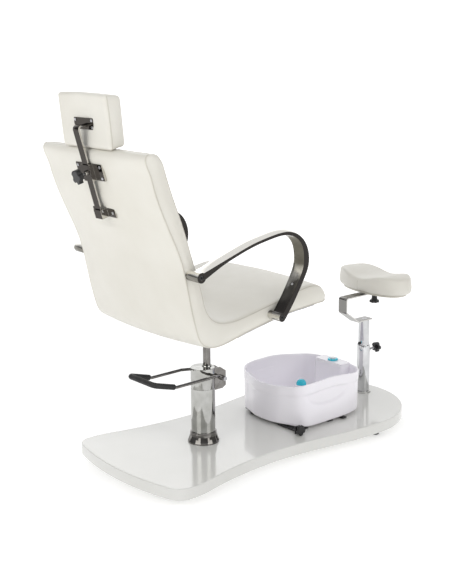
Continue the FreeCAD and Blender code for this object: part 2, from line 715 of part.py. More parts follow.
def footrest_outer_tube():
    tube = cylinder(POST_RADIUS, DECK_Z, POST_TOP_Z, 0, POST_Y)
    tube = tube.cut(cylinder(INNER_TUBE_RADIUS + RUNNING_GAP, DECK_Z, POST_TOP_Z, 0, POST_Y))
    boss = Part.makeCylinder(8.0, 8.0, Vector(0, POST_Y - POST_RADIUS + 1, POST_KNOB_Z), Vector(0, -1, 0))
    boss = boss.cut(cylinder(POST_RADIUS - 0.5, POST_KNOB_Z - 20, POST_KNOB_Z + 20, 0, POST_Y))
    tube = tube.fuse(boss)
    hole = Part.makeCylinder(4.05, 30.0, Vector(0, POST_Y - INNER_TUBE_RADIUS + 1, POST_KNOB_Z), Vector(0, -1, 0))
    return tube.cut(hole).removeSplitter()


def footrest_flange():
    inner = POST_RADIUS + 0.1
    points = [(inner, DECK_Z), (30.0, DECK_Z), (30.0, DECK_Z + 2), (27.0, DECK_Z + 5), (inner, DECK_Z + 6)]
    return turned(points, POST_Y)


def footrest_inner_tube():
    low = 84.0
    tube = cylinder(INNER_TUBE_RADIUS, low, INNER_TUBE_TOP_Z, 0, POST_Y)
    tube = tube.cut(cylinder(INNER_TUBE_RADIUS - 2.5, low, INNER_TUBE_TOP_Z - 14, 0, POST_Y))
    return tube.cut(cylinder(4.0, low, INNER_TUBE_TOP_Z, 0, POST_Y))


def footrest_stop_pin():
    """Black plug on the inner tube that rests just over the outer tube's rim."""
    pin = Part.makeCylinder(5.5, 9.0, Vector(0, POST_Y + 17.0, POST_TOP_Z + 9.0), Vector(0, 1, 0))
    return pin.cut(cylinder(INNER_TUBE_RADIUS + 0.02, POST_TOP_Z - 5, POST_TOP_Z + 25, 0, POST_Y))


def footrest_knob_place():
    return Vector(0, POST_Y - POST_RADIUS - 42.0, POST_KNOB_Z)


def footrest_knob():
    return aimed(star_knob(19.0, 12.0), Vector(0, -1, 0), footrest_knob_place())


def footrest_knob_screw():
    tip = POST_Y - INNER_TUBE_RADIUS - 0.4
    length = tip - footrest_knob_place().y - 6.2
    return Part.makeCylinder(4.0, length, Vector(0, tip, POST_KNOB_Z), Vector(0, -1, 0))


def footrest_pivot_screw():
    """Flush screw in the inner tube's end, on which the bracket turns."""
    top = BRACKET_PATH[0][1] + BRACKET_THICKNESS / 2
    head = cylinder(PIVOT_SCREW_RADIUS, INNER_TUBE_TOP_Z, top, 0, POST_Y)
    return head.fuse(cylinder(4.0, INNER_TUBE_TOP_Z - 12, INNER_TUBE_TOP_Z, 0, POST_Y)).removeSplitter()


def footrest_bracket():
    bar = bent_bar(BRACKET_PATH, BRACKET_WIDTH, BRACKET_THICKNESS, 7.0)
    bar = bar.cut(cylinder(PIVOT_SCREW_RADIUS + RUNNING_GAP, 330, 350, 0, POST_Y))
    return bar.cut(cylinder(4.0 + RUNNING_GAP, 420, 460, 0, PAD_Y))


def pad_outline(scale, z):
    """Oval plan of the footrest pad, squarer than an ellipse."""
    points = []
    steps = 32
    for i in range(steps):
        angle = 2 * math.pi * i / steps
        c = math.cos(angle)
        s = math.sin(angle)
        x = math.copysign(abs(c) ** (2 / PAD_SQUARENESS), c) * PAD_LENGTH / 2 * scale
        y = math.copysign(abs(s) ** (2 / PAD_SQUARENESS), s) * PAD_DEPTH / 2 * scale
        spot = FreeCAD.Rotation(Vector(0, 0, 1), PAD_TURN).multVec(Vector(x, y, 0))
        points.append(spot + Vector(0, PAD_Y, z))
    curve = Part.BSplineCurve()
    curve.interpolate(Points=points, PeriodicFlag=True)
    return Part.Wire(curve.toShape())


def footrest_pad():
    return Part.Face(pad_outline(1.0, PAD_Z)).extrude(Vector(0, 0, PAD_HEIGHT))


def footrest_pad_board():
    board = Part.Face(pad_outline(0.88, PAD_Z - 8.3)).extrude(Vector(0, 0, 8))
    return board.cut(cylinder(4.0, 440, 460, 0, PAD_Y))


def pad_spacer():
    low = BRACKET_PATH[-1][1] + BRACKET_THICKNESS / 2 + 0.1
    high = PAD_Z - 8.3
    return cylinder(24.0, low, high, 0, PAD_Y).cut(cylinder(4.0, low, high, 0, PAD_Y))


def pad_stud():
    """Threaded stud fixed in the pad's board, down through the arm."""
    return cylinder(4.0, 412, PAD_Z - 0.4, 0, PAD_Y)


def pad_knob():
    """Clamp knob under the arm: a neck with a star flange below it."""
    top = BRACKET_PATH[-1][1] - BRACKET_THICKNESS / 2 - 0.2
    knob = aimed(star_knob(18.0, 9.0, 7), Vector(0, 0, -1), Vector(0, PAD_Y, 406.0))
    neck = turned([(0, 405), (12, 405), (10, 418), (9, top), (0, top)], PAD_Y)
    knob = knob.fuse(neck)
    return knob.cut(cylinder(4.0 + RUNNING_GAP, 408, 450, 0, PAD_Y)).removeSplitter()


# ---------------------------------------------------------------- foot bath


def tub_plan(inset, z):
    """Plan of the tub: round towards the chair, straight sides, rounded front."""
    w = TUB_HALF_WIDTH - inset
    rear = TUB_REAR_Y - inset
    front = TUB_FRONT_Y + inset
    sag = 24.0
    right = [Vector(-w * 0.64, rear - sag, z), Vector(0, rear, z), Vector(w * 0.64, rear - sag, z)]
    corner = [Vector(w * 0.64, rear - sag, z), Vector(w * 0.90, rear - 43, z), Vector(w, rear - 88, z)]
    edges = [Part.Arc(*right).toShape(), Part.Arc(*corner).toShape()]
    side_end = Vector(w, front + 130, z)
    edges.append(Part.LineSegment(corner[2], side_end).toShape())
    round_front = [side_end, Vector(w * 0.86, front + 42, z), Vector(w * 0.5, front + 8, z)]
    edges.append(Part.Arc(*round_front).toShape())
    edges.append(Part.Arc(round_front[2], Vector(0, front, z), Vector(-w * 0.5, front + 8, z)).toShape())
    edges += [mirrored(edges[3]), mirrored(edges[2]), mirrored(edges[1])]
    return Part.Wire(Part.__sortEdges__(edges))


def above_rim(drop=0.0):
    """Everything above the rim's wavy line, or above the same line lower down."""
    rim = curve_through([Vector(-300, y, z - drop) for y, z in TUB_RIM])
    first = Vector(-300, TUB_RIM[0][0], TUB_RIM[0][1] - drop)
    last = Vector(-300, TUB_RIM[-1][0], TUB_RIM[-1][1] - drop)
    lift = Vector(0, 0, 150)
    edges = [rim.toShape(), Part.LineSegment(last, last + lift).toShape(),
             Part.LineSegment(last + lift, first + lift).toShape(), Part.LineSegment(first + lift, first).toShape()]
    return Part.Face(Part.Wire(edges)).extrude(Vector(600, 0, 0))


def panel_block(grow, low, high):
    return box(-PANEL_HALF_WIDTH - grow, PANEL_HALF_WIDTH + grow, TUB_FRONT_Y - 20,
               TUB_FRONT_Y + PANEL_DEPTH + grow, low, high)


def tub_grip(side):
    """Crescent finger recess in one side of the skirt."""
    y, z = TUB_GRIP
    x = side * (TUB_HALF_WIDTH - TUB_BAND_STEP - 2.2)
    low = Part.makeCylinder(92.0, 20, Vector(x, y, z + 32), Vector(side, 0, 0))
    high = Part.makeCylinder(150.0, 20, Vector(x, y, z + 125), Vector(side, 0, 0))
    return low.cut(high).common(box(-400, 400, y - 200, y + 200, 0, z - 2))


def tub_basin():
    """Thin-walled bath with a wavy rim and a pocket in front for the controls."""
    skirt = Part.Face(tub_plan(TUB_BAND_STEP, TUB_Z)).extrude(Vector(0, 0, 170)).cut(above_rim(10.0))
    skirt = skirt.makeFillet(3.0, [e for e in skirt.Edges if e.BoundBox.ZMax < TUB_Z + 1])
    band = Part.Face(tub_plan(0.0, TUB_Z)).extrude(Vector(0, 0, 170)).cut(above_rim())
    outer = skirt.fuse(band.common(above_rim(TUB_BAND)))
    for side in (-1, 1):
        outer = outer.cut(tub_grip(side))
    inner = Part.Face(tub_plan(TUB_WALL + TUB_BAND_STEP, TUB_Z + TUB_FLOOR)).extrude(Vector(0, 0, 180))
    inner = inner.cut(panel_block(0.0, TUB_Z, 400))
    basin = outer.cut(inner)
    hollow = Part.Face(tub_plan(TUB_WALL + TUB_BAND_STEP, TUB_Z + TUB_FLOOR))
    hollow = hollow.extrude(Vector(0, 0, PANEL_Z - TUB_Z - 12))
    hollow = hollow.common(panel_block(-TUB_WALL, TUB_Z, 400))
    basin = basin.cut(hollow)
    basin = basin.cut(panel_block(-0.01, PANEL_Z - 3, 400))
    basin = basin.cut(Part.makeCylinder(9.1, 30, Vector(0, TUB_FRONT_Y - 10, 100), Vector(0, 1, 0)))
    basin = basin.cut(cylinder(5.1, 190, 230, 0, DIAL_Y))
    return basin


def tub_panel():
    """Cover of the control pocket, level with the front rim."""
    cover = Part.Face(tub_plan(0.2, PANEL_Z - 2.8)).extrude(Vector(0, 0, 5.6))
    cover = cover.common(panel_block(-0.4, 150, 300))
    return cover.cut(cylinder(5.1, 190, 230, 0, DIAL_Y))


def tub_dial():
    dial = cylinder(19.0, PANEL_Z + 3.0, PANEL_Z + 8.5, 0, DIAL_Y)
    dial = dial.makeFillet(2.0, [e for e in dial.Edges if e.BoundBox.ZMin > PANEL_Z + 8])
    return dial.fuse(cylinder(5.0, PANEL_Z - 8, PANEL_Z + 3.0, 0, DIAL_Y)).removeSplitter()


def tub_dial_cap():
    cap = cylinder(10.0, PANEL_Z + 8.6, PANEL_Z + 12.5, 0, DIAL_Y)
    return cap.makeFillet(2.5, [e for e in cap.Edges if e.BoundBox.ZMin > PANEL_Z + 12])


def tub_inlet():
    """Round power inlet low on the tub's front."""
    place = Vector(0, TUB_FRONT_Y - 0.5, 100)
    body = Part.makeCylinder(9.0, 16, place, Vector(0, 1, 0))
    body = body.fuse(Part.makeCylinder(12.0, 3, place - Vector(0, 2.6, 0), Vector(0, 1, 0)))
    body = body.cut(Part.makeCylinder(5.5, 10, place - Vector(0, 3, 0), Vector(0, 1, 0)))
    return body.removeSplitter()


def tub_feet():
    feet = []
    for x, y in ((98, TUB_REAR_Y - 40), (110, BAR_PLACES[1] + 15)):
        foot = cylinder(12.0, TRAY_Z + 4, TUB_Z, x, y)
        feet += [foot, mirrored(foot)]
    return Part.makeCompound(feet)


def massage_post():
    """Pedestal in the middle of the bath."""
    low = TUB_Z + TUB_FLOOR
    return turned([(0, low), (34, low), (30, low + 8), (24, low + 30), (21, low + 82), (0, low + 82)],
                  TUB_CENTRE_Y)


def massage_dome():
    """Domed massage roller that turns on the pedestal."""
    low = TUB_Z + TUB_FLOOR + 82.3
    ball = Part.makeSphere(18.5, Vector(0, TUB_CENTRE_Y, low + 1.5))
    return ball.common(cylinder(30, low, low + 40, 0, TUB_CENTRE_Y))


def tub_rails():
    """Two flat guides across the deck, under the tray."""
    rails = [box(-150, 150, y - 12, y + 12, DECK_Z, TRAY_Z - 0.05) for y in (-310, -430)]
    return Part.makeCompound(rails)


def tub_tray():
    """Steel tray under the tub, with an arm to the upright for the knob at its rear corner."""
    rear, front = BAR_PLACES
    outline = [(-125, front - 9), (125, front - 9), (125, rear - 50), (88, rear - 14), (-88, rear - 14),
               (-125, rear - 50)]
    wire = Part.makePolygon([Vector(x, y, TRAY_Z) for x, y in outline + outline[:1]])
    tray = Part.Face(wire).extrude(Vector(0, 0, 4))
    tray = tray.fuse(box(-168, 0, front - 9, front + 9, TRAY_Z, TRAY_Z + 4))
    arm = box(-168, -60, rear - 30, rear - 8, TRAY_Z, TRAY_Z + 4)
    upright = box(-168, -164, rear - 12, rear + 9, TRAY_Z, 90)
    tray = tray.fuse([arm, upright]).removeSplitter()
    return tray.cut(across(4.0 + RUNNING_GAP, -180, -150, BAR_PLACES[0], 79))


def tub_knob():
    """Star knob on the tray's near corner, its screw through the upright."""
    place = Vector(-178.0, BAR_PLACES[0], 79)
    knob = aimed(star_knob(17.5, 11.0), Vector(-1, 0, 0), place)
    return knob.fuse(across(4.0, -172.6, -152.0, BAR_PLACES[0], 79)).removeSplitter()


# ---------------------------------------------------------------- build


def seat_pieces():
    """The seat's pieces, with the shell and its bars cut to take everything fixed to them."""
    arm = armrest()
    arm_fixings = arm_bolts()
    mount_fixings = mount_bolts()
    screws = back_screws()
    mount = seat_mount()
    clamp = headrest_clamp()
    guide = headrest_guide()
    pieces = {"armrest_left": arm, "armrest_right": mirrored(arm),
              "armrest_bolts": Part.makeCompound(arm_fixings),
              "seat_mount": mount.cut(Part.makeCompound(mount_fixings)),
              "seat_mount_bolts": Part.makeCompound(mount_fixings),
              "headrest_clamp": clamp.cut(Part.makeCompound(screws)),
              "headrest_guide": guide.cut(Part.makeCompound(screws)),
              "back_screws": Part.makeCompound(screws)}
    bars = {name: frame_bar(*place) for name, place in FRAME_BARS.items()}
    fixings = arm_fixings + mount_fixings + screws
    board = back_board().cut([mount, clamp_pocket(), guide] + list(bars.values()) + fixings)
    cushion = seat_cushion().cut(list(bars.values()) + fixings)
    for name, bar in bars.items():
        pieces[name] = bar.cut(fixings)
    pieces["back_board"] = board
    pieces["seat_cushion"] = cushion
    return pieces


def build():
    os.makedirs("parts", exist_ok=True)
    pieces = {
        "base_board": base_board(), "base_feet": base_feet(),
        "pump_base_ring": pump_base_ring(), "pump_cover": pump_cover(), "pump_cap": pump_cap(),
        "pump_wiper": pump_wiper(), "pump_bracket": pump_bracket(), "pump_cylinder": pump_cylinder(),
        "pump_floor_plate": pump_floor_plate(), "pump_floor_bolts": pump_floor_bolts(),
        "pump_plunger": pump_plunger(), "piston_rod": piston_rod(),
        "pedal_lever": pedal_lever(), "pedal_grip": pedal_grip(), "pedal_pivot_bolt": pedal_pivot_bolt(),
        "pedal_cam": pedal_cam(),
        "headrest_strap": headrest_strap(), "headrest_plate": headrest_plate(),
        "headrest_plate_screws": headrest_plate_screws(), "headrest_cushion": headrest_cushion(),
        "headrest_knob": headrest_knob(), "headrest_knob_screw": headrest_knob_screw(),
        "footrest_outer_tube": footrest_outer_tube(), "footrest_flange": footrest_flange(),
        "footrest_inner_tube": footrest_inner_tube(), "footrest_stop_pin": footrest_stop_pin(),
        "footrest_knob": footrest_knob(), "footrest_knob_screw": footrest_knob_screw(),
        "footrest_pivot_screw": footrest_pivot_screw(), "footrest_bracket": footrest_bracket(),
        "footrest_pad": footrest_pad(),
        "footrest_pad_board": footrest_pad_board(), "pad_spacer": pad_spacer(), "pad_stud": pad_stud(),
        "pad_knob": pad_knob(),
        "tub_basin": tub_basin(), "tub_panel": tub_panel(), "tub_dial": tub_dial(),
        "tub_dial_cap": tub_dial_cap(), "tub_inlet": tub_inlet(), "tub_feet": tub_feet(),
        "massage_post": massage_post(), "massage_dome": massage_dome(),
        "tub_rails": tub_rails(), "tub_tray": tub_tray(), "tub_knob": tub_knob(),
    }
    pieces.update(seat_pieces())
    for name, shape in pieces.items():
        save(name, shape)
        print(name, len(shape.Solids), "solid(s)", round(shape.Volume / 1000, 1), "cm3", shape.isValid())


build()
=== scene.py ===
import json
import math

import bmesh
import bpy
import numpy as np
from mathutils import Matrix, Vector


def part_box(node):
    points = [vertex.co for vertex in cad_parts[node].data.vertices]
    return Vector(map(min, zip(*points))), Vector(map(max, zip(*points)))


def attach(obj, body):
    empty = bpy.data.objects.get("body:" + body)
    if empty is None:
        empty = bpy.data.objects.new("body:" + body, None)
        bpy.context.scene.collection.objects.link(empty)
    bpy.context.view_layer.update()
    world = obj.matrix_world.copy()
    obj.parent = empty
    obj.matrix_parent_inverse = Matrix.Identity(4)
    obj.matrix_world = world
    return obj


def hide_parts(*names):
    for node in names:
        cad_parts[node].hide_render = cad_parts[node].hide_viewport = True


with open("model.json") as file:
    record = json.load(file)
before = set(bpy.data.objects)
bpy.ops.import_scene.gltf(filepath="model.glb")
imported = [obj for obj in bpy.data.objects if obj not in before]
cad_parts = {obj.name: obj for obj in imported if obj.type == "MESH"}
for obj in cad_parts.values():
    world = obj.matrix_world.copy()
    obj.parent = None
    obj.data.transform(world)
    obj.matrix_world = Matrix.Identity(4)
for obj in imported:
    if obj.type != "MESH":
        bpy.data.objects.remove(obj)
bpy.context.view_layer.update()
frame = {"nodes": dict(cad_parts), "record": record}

# Sizes below are in millimetres from the lift piston's axis, as in the CAD; place() turns them into metres.
MM = 0.001
PISTON_LOW, PISTON_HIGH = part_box("piston_rod")
PISTON_Y = (PISTON_LOW[1] + PISTON_HIGH[1]) / 2 / MM


def place(x, y, z):
    """A point in metres in the part's frame, from millimetres about the piston's axis."""
    return Vector((x * MM, (y + PISTON_Y) * MM, z * MM))


# ------------------------------------------------------------------ materials


class Graph:
    """Short names for building a material's nodes."""

    def __init__(self, name):
        self.material = bpy.data.materials.new(name)
        self.material.use_nodes = True
        self.nodes = self.material.node_tree.nodes
        self.links = self.material.node_tree.links
        self.shader = self.nodes["Principled BSDF"]
        self.coords = self.nodes.new("ShaderNodeTexCoord").outputs["Object"]

    def link(self, a, b):
        self.links.new(a, b)

    def stretched(self, x, y, z):
        node = self.nodes.new("ShaderNodeMapping")
        node.inputs["Scale"].default_value = (x, y, z)
        self.link(self.coords, node.inputs["Vector"])
        return node.outputs["Vector"]

    def noise(self, scale, detail=2.0, rough=0.5, vector=None, distortion=0.0):
        node = self.nodes.new("ShaderNodeTexNoise")
        node.inputs["Scale"].default_value = scale
        node.inputs["Detail"].default_value = detail
        node.inputs["Roughness"].default_value = rough
        node.inputs["Distortion"].default_value = distortion
        self.link(vector or self.coords, node.inputs["Vector"])
        return node.outputs["Fac"]

    def cells(self, scale):
        node = self.nodes.new("ShaderNodeTexVoronoi")
        node.inputs["Scale"].default_value = scale
        self.link(self.coords, node.inputs["Vector"])
        return node.outputs["Distance"]

    def ramp(self, value, low, high, out_low, out_high):
        node = self.nodes.new("ShaderNodeMapRange")
        node.inputs["From Min"].default_value = low
        node.inputs["From Max"].default_value = high
        node.inputs["To Min"].default_value = out_low
        node.inputs["To Max"].default_value = out_high
        self.link(value, node.inputs["Value"])
        return node.outputs["Result"]

    def colours(self, value, first, second, low=0.35, high=0.65):
        node = self.nodes.new("ShaderNodeValToRGB")
        node.color_ramp.elements[0].position = low
        node.color_ramp.elements[0].color = (*first, 1)
        node.color_ramp.elements[1].position = high
        node.color_ramp.elements[1].color = (*second, 1)
        self.link(value, node.inputs["Fac"])
        return node.outputs["Color"]

    def bump(self, height, distance, strength=1.0, under=None):
        node = self.nodes.new("ShaderNodeBump")
        node.inputs["Distance"].default_value = distance
        node.inputs["Strength"].default_value = strength
        self.link(height, node.inputs["Height"])
        if under is not None:
            self.link(under, node.inputs["Normal"])
        return node.outputs["Normal"]

    def finish(self, colour=None, rough=None, normal=None, **fixed):
        if colour is not None:
            self.link(colour, self.shader.inputs["Base Color"])
        if rough is not None:
            self.link(rough, self.shader.inputs["Roughness"])
        if normal is not None:
            self.link(normal, self.shader.inputs["Normal"])
        for key, value in fixed.items():
            self.shader.inputs[key.replace("_", " ")].default_value = value
        return self.material


def leatherette(name, light, dark):
    """Smooth coated fabric: fine pebble grain, faint handling variation, soft gloss."""
    g = Graph(name)
    pebble = g.bump(g.cells(820.0), 0.00016, 0.55)
    creases = g.bump(g.noise(520.0, 4.0, 0.65), 0.00013, 0.5, pebble)
    drape = g.bump(g.noise(15.0, 2.0, 0.5), 0.0022, 0.35, creases)
    colour = g.colours(g.noise(5.0, 3.0, 0.6), dark, light, 0.30, 0.68)
    rough = g.ramp(g.noise(38.0, 4.0, 0.6), 0.3, 0.7, 0.36, 0.47)
    return g.finish(colour, rough, drape, Specular_IOR_Level=0.5, Coat_Weight=0.06, Coat_Roughness=0.25)


def lacquer(name, light, dark, wave=0.00010, coat=0.6, painted_glow=0.0):
    """Glossy lacquer or moulded plastic: clear coat with a slight orange peel, and an optional faint glow
    that is painted light.
    """
    g = Graph(name)
    peel = g.bump(g.noise(150.0, 2.0, 0.5), wave, 0.35)
    flat = g.bump(g.noise(9.0, 1.0, 0.5), wave * 6, 0.25, peel)
    colour = g.colours(g.noise(4.0, 2.0), dark, light)
    rough = g.ramp(g.noise(60.0, 4.0, 0.7), 0.3, 0.7, 0.10, 0.17)
    return g.finish(colour, rough, flat, Coat_Weight=coat, Coat_Roughness=0.05, Specular_IOR_Level=0.5,
                    Emission_Color=(1.0, 0.98, 1.0, 1.0), Emission_Strength=painted_glow)


def metal(name, light, dark, low, high):
    """Polished metal with faint smears in its roughness."""
    g = Graph(name)
    wave = 0.00006
    rough = g.ramp(g.noise(45.0, 5.0, 0.65, None, 0.6), 0.25, 0.75, low, high)
    skin = g.bump(g.noise(300.0, 3.0, 0.6), wave * 0.3, 0.4)
    ripple = g.bump(g.noise(26.0, 1.0), wave * 5, 0.5, skin)
    return g.finish(g.colours(g.noise(30.0, 3.0), dark, light), rough, ripple, Metallic=1.0)


def maths(g, operation, first, second):
    """A Math node on two sockets."""
    node = g.nodes.new("ShaderNodeMath")
    node.operation = operation
    g.link(first, node.inputs[0])
    if second is not None:
        g.link(second, node.inputs[1])
    return node.outputs["Value"]


def component(g, vector, axis):
    node = g.nodes.new("ShaderNodeSeparateXYZ")
    g.link(vector, node.inputs["Vector"])
    return node.outputs[axis]


def by_normal(g, axis, low, high):
    """Ramp from 0 to 1 over one component of the normal, in the part's own axes; X counts both ways."""
    value = component(g, g.nodes.new("ShaderNodeTexCoord").outputs["Normal"], axis)
    if axis == "X":
        value = maths(g, "ABSOLUTE", value, None)
    mottle = g.ramp(g.noise(22.0, 3.0, 0.6), 0.3, 0.7, -0.05, 0.05)
    return g.ramp(maths(g, "ADD", value, mottle), low, high, 0.0, 1.0)


def by_height(g, low, high):
    """Ramp from 0 to 1 between two heights in metres, with an uneven edge."""
    mottle = g.ramp(g.noise(16.0, 3.0, 0.6), 0.3, 0.7, -0.03, 0.03)
    return g.ramp(maths(g, "ADD", component(g, g.coords, "Z"), mottle), low, high, 0.0, 1.0)


def mixed(g, factor, first, second):
    """Mix of two colours, of which the first may be a socket."""
    node = g.nodes.new("ShaderNodeMix")
    node.data_type = "RGBA"
    g.link(factor, node.inputs["Factor"])
    g.link(first, node.inputs[6])
    node.inputs[7].default_value = (*second, 1)
    return node.outputs[2]


def aluminium_painted_reflections(name, bright, painted_shade_tone, warm_painted_light):
    """Cast aluminium with painted light: a painted highlight on top and on the low front boss, painted
    shade and dark reflection on the side edges, and painted shade inside that turns to warm painted light
    towards its top.
    """
    g = Graph(name)
    # Painted highlight: upward faces near the top, and the low front boss away from the side edges, take
    # the bright colour.
    top = maths(g, "MULTIPLY", by_normal(g, "Z", 0.16, 0.50), by_height(g, 0.62, 0.68))
    not_edge = g.ramp(by_normal(g, "X", 0.5, 0.85), 0.0, 1.0, 1.0, 0.0)
    low = g.ramp(component(g, g.coords, "Z"), 0.539, 0.546, 0.75, 0.0)
    boss_highlight = maths(g, "MULTIPLY", low, not_edge)
    # Painted shade low inside the arm, warm painted light higher up, and painted shade on the side edges.
    inside = g.colours(by_height(g, 0.55, 0.74), painted_shade_tone, warm_painted_light, 0.1, 0.9)
    flank_shade = mixed(g, by_normal(g, "X", 0.45, 0.80), inside, painted_shade_tone)
    colour = mixed(g, maths(g, "MAXIMUM", top, boss_highlight), flank_shade, bright)
    ripple = g.bump(g.noise(24.0, 1.0), 0.0003, 0.5)
    rough = g.ramp(g.noise(48.0, 5.0, 0.65), 0.25, 0.75, 0.07, 0.15)
    return g.finish(colour, rough, ripple, Metallic=1.0)


def bar_painted_reflections(name, face, edge):
    """Plated flat bar with painted light: a painted dark reflection on its broad faces and a painted
    highlight along its cut edges.
    """
    g = Graph(name)
    colour = g.colours(by_normal(g, "X", 0.55, 0.80), face, edge, 0.1, 0.9)
    rough = g.ramp(g.noise(48.0, 5.0, 0.65), 0.25, 0.75, 0.05, 0.13)
    return g.finish(colour, rough, g.bump(g.noise(24.0, 1.0), 0.0002, 0.5), Metallic=1.0)


def moulded(name, light, dark, low, high, grain=900.0, depth=0.00008):
    """Satin moulded plastic or rubber."""
    g = Graph(name)
    skin = g.bump(g.noise(grain, 3.0, 0.6), depth, 0.6)
    colour = g.colours(g.noise(60.0, 3.0), dark, light)
    rough = g.ramp(g.noise(120.0, 4.0, 0.6), 0.3, 0.7, low, high)
    return g.finish(colour, rough, skin)


def timber(name, light, dark):
    """Bare plywood or beech with long grain."""
    g = Graph(name)
    rings = g.noise(1.0, 5.0, 0.6, g.stretched(9.0, 160.0, 160.0))
    skin = g.bump(rings, 0.0003, 0.5)
    return g.finish(g.colours(rings, dark, light), g.ramp(rings, 0.2, 0.8, 0.6, 0.8), skin)


WHITE_LEATHER = leatherette("white_leatherette", (0.755, 0.738, 0.68), (0.715, 0.695, 0.63))
SEAM_LEATHER = leatherette("seam_leatherette", (0.64, 0.615, 0.55), (0.54, 0.515, 0.45))
BOARD_WHITE = lacquer("white_lacquer", (0.745, 0.745, 0.725), (0.715, 0.715, 0.69), coat=0.25)
CHROME = metal("chrome", (0.50, 0.50, 0.485), (0.42, 0.42, 0.40), 0.035, 0.085)
# A lighter copy of the chrome for the footrest tubes: painted light.
CHROME_PAINTED_LIT = metal("chrome_painted_lit", (0.63, 0.635, 0.645), (0.54, 0.545, 0.555), 0.03, 0.07)
# A darker copy of the chrome for the pump, pedal and piston parts under the seat: painted shade.
CHROME_PAINTED_SHADE = metal("chrome_painted_shade", (0.27, 0.26, 0.25), (0.18, 0.172, 0.162), 0.035, 0.09)
# Footrest bracket chrome: painted dark reflection on its faces, painted highlight on its edges.
CHROME_PAINTED_EDGE_HIGHLIGHT = bar_painted_reflections("chrome_painted_edge_highlight", (0.24, 0.235, 0.225), (0.62, 0.61, 0.59))
# Arm aluminium whose colour holds painted highlights, painted shade and painted reflections.
ALUMINIUM_PAINTED_REFLECTIONS = aluminium_painted_reflections("polished_aluminium", (0.95, 0.93, 0.88), (0.040, 0.037, 0.035), (0.26, 0.25, 0.22))
# Headrest strap, clamp, guide and plate chrome: near-black painted reflection on the faces, painted
# highlight on the edges.
CHROME_PAINTED_DARK_FACES = bar_painted_reflections("chrome_painted_dark_faces", (0.055, 0.048, 0.042), (0.60, 0.58, 0.54))
STEEL = metal("zinc_steel", (0.55, 0.55, 0.57), (0.42, 0.42, 0.44), 0.22, 0.38)
BLACK_STEEL = moulded("black_paint", (0.022, 0.022, 0.024), (0.014, 0.014, 0.015), 0.30, 0.45, 500.0)
RUBBER = moulded("black_rubber", (0.020, 0.020, 0.021), (0.010, 0.010, 0.011), 0.48, 0.66, 1100.0, 0.00015)
BLACK_PLASTIC = moulded("black_plastic", (0.020, 0.020, 0.022), (0.011, 0.011, 0.012), 0.28, 0.42)
# The bath's plastic glows faintly: painted light that brightens the tub and its housing.
TUB_WHITE = lacquer("tub_plastic", (0.87, 0.85, 0.90), (0.845, 0.825, 0.88), 0.00014, coat=0.25, painted_glow=0.06)
TURQUOISE = lacquer("turquoise_plastic", (0.015, 0.58, 0.74), (0.01, 0.48, 0.64))
WHITE_PLASTIC = lacquer("white_plastic", (0.80, 0.80, 0.82), (0.75, 0.75, 0.78))
TIMBER = timber("raw_timber", (0.62, 0.45, 0.28), (0.42, 0.28, 0.15))
DUST_COVER = moulded("dust_cover", (0.52, 0.53, 0.58), (0.44, 0.45, 0.50), 0.75, 0.9, 1600.0, 0.0003)

SLOT_MATERIALS = {"white_upholstery": WHITE_LEATHER, "white_board": BOARD_WHITE, "chrome": CHROME,
                  "polished_aluminium": ALUMINIUM_PAINTED_REFLECTIONS, "steel": STEEL, "dark_steel": BLACK_STEEL,
                  "black_rubber": RUBBER, "black_plastic": BLACK_PLASTIC, "timber": TIMBER,
                  "tub_plastic": TUB_WHITE, "turquoise_plastic": TURQUOISE, "white_plastic": WHITE_PLASTIC}
# Chrome copies below carry painted light: painted dark faces and edge highlights on the headrest parts and
# footrest bracket, painted shade on the pump parts, a painted lit copy on the footrest tubes.
NODE_MATERIALS = ((CHROME_PAINTED_DARK_FACES, ("headrest_strap", "headrest_clamp", "headrest_guide", "headrest_plate")),
                  (CHROME_PAINTED_SHADE, ("pump_bracket", "pedal_cam", "pedal_lever", "piston_rod", "pump_base_ring")),
                  (CHROME_PAINTED_LIT, ("footrest_outer_tube", "footrest_inner_tube")),
                  (CHROME_PAINTED_EDGE_HIGHLIGHT, ("footrest_bracket",)),
                  (SEAM_LEATHER, ("footrest_pad_board",)),
                  (BLACK_STEEL, ("armrest_bolts",)))
EDGE_WIDTHS = {"base_board": 3.5, "armrest_left": 1.8, "armrest_right": 1.8, "headrest_strap": 0.9,
               "headrest_clamp": 0.8, "headrest_guide": 0.6, "headrest_plate": 0.6, "footrest_bracket": 0.9,
               "pump_bracket": 0.8, "tub_panel": 0.8, "tub_dial": 0.8, "pump_cap": 0.8,
               "footrest_outer_tube": 0.5, "tub_tray": 0.5}


def soften(node, width):
    """Rounded edges for a machined or moulded part."""
    weld = node.modifiers.new("weld", "WELD")
    weld.merge_threshold = 2e-6
    edge = node.modifiers.new("edge", "BEVEL")
    edge.width = width
    edge.segments = 3
    edge.limit_method = "ANGLE"
    edge.angle_limit = math.radians(38)
    edge.use_clamp_overlap = True
    edge.harden_normals = True


for part in frame["record"]["subparts"]:
    node = frame["nodes"][part["node"]]
    node.data.materials.clear()
    node.data.materials.append(SLOT_MATERIALS[part["material_slot"]])
for special, names in NODE_MATERIALS:
    for name in names:
        frame["nodes"][name].data.materials[0] = special
for name, width in EDGE_WIDTHS.items():
    soften(frame["nodes"][name], width * MM)


# ------------------------------------------------------------------ mesh helpers


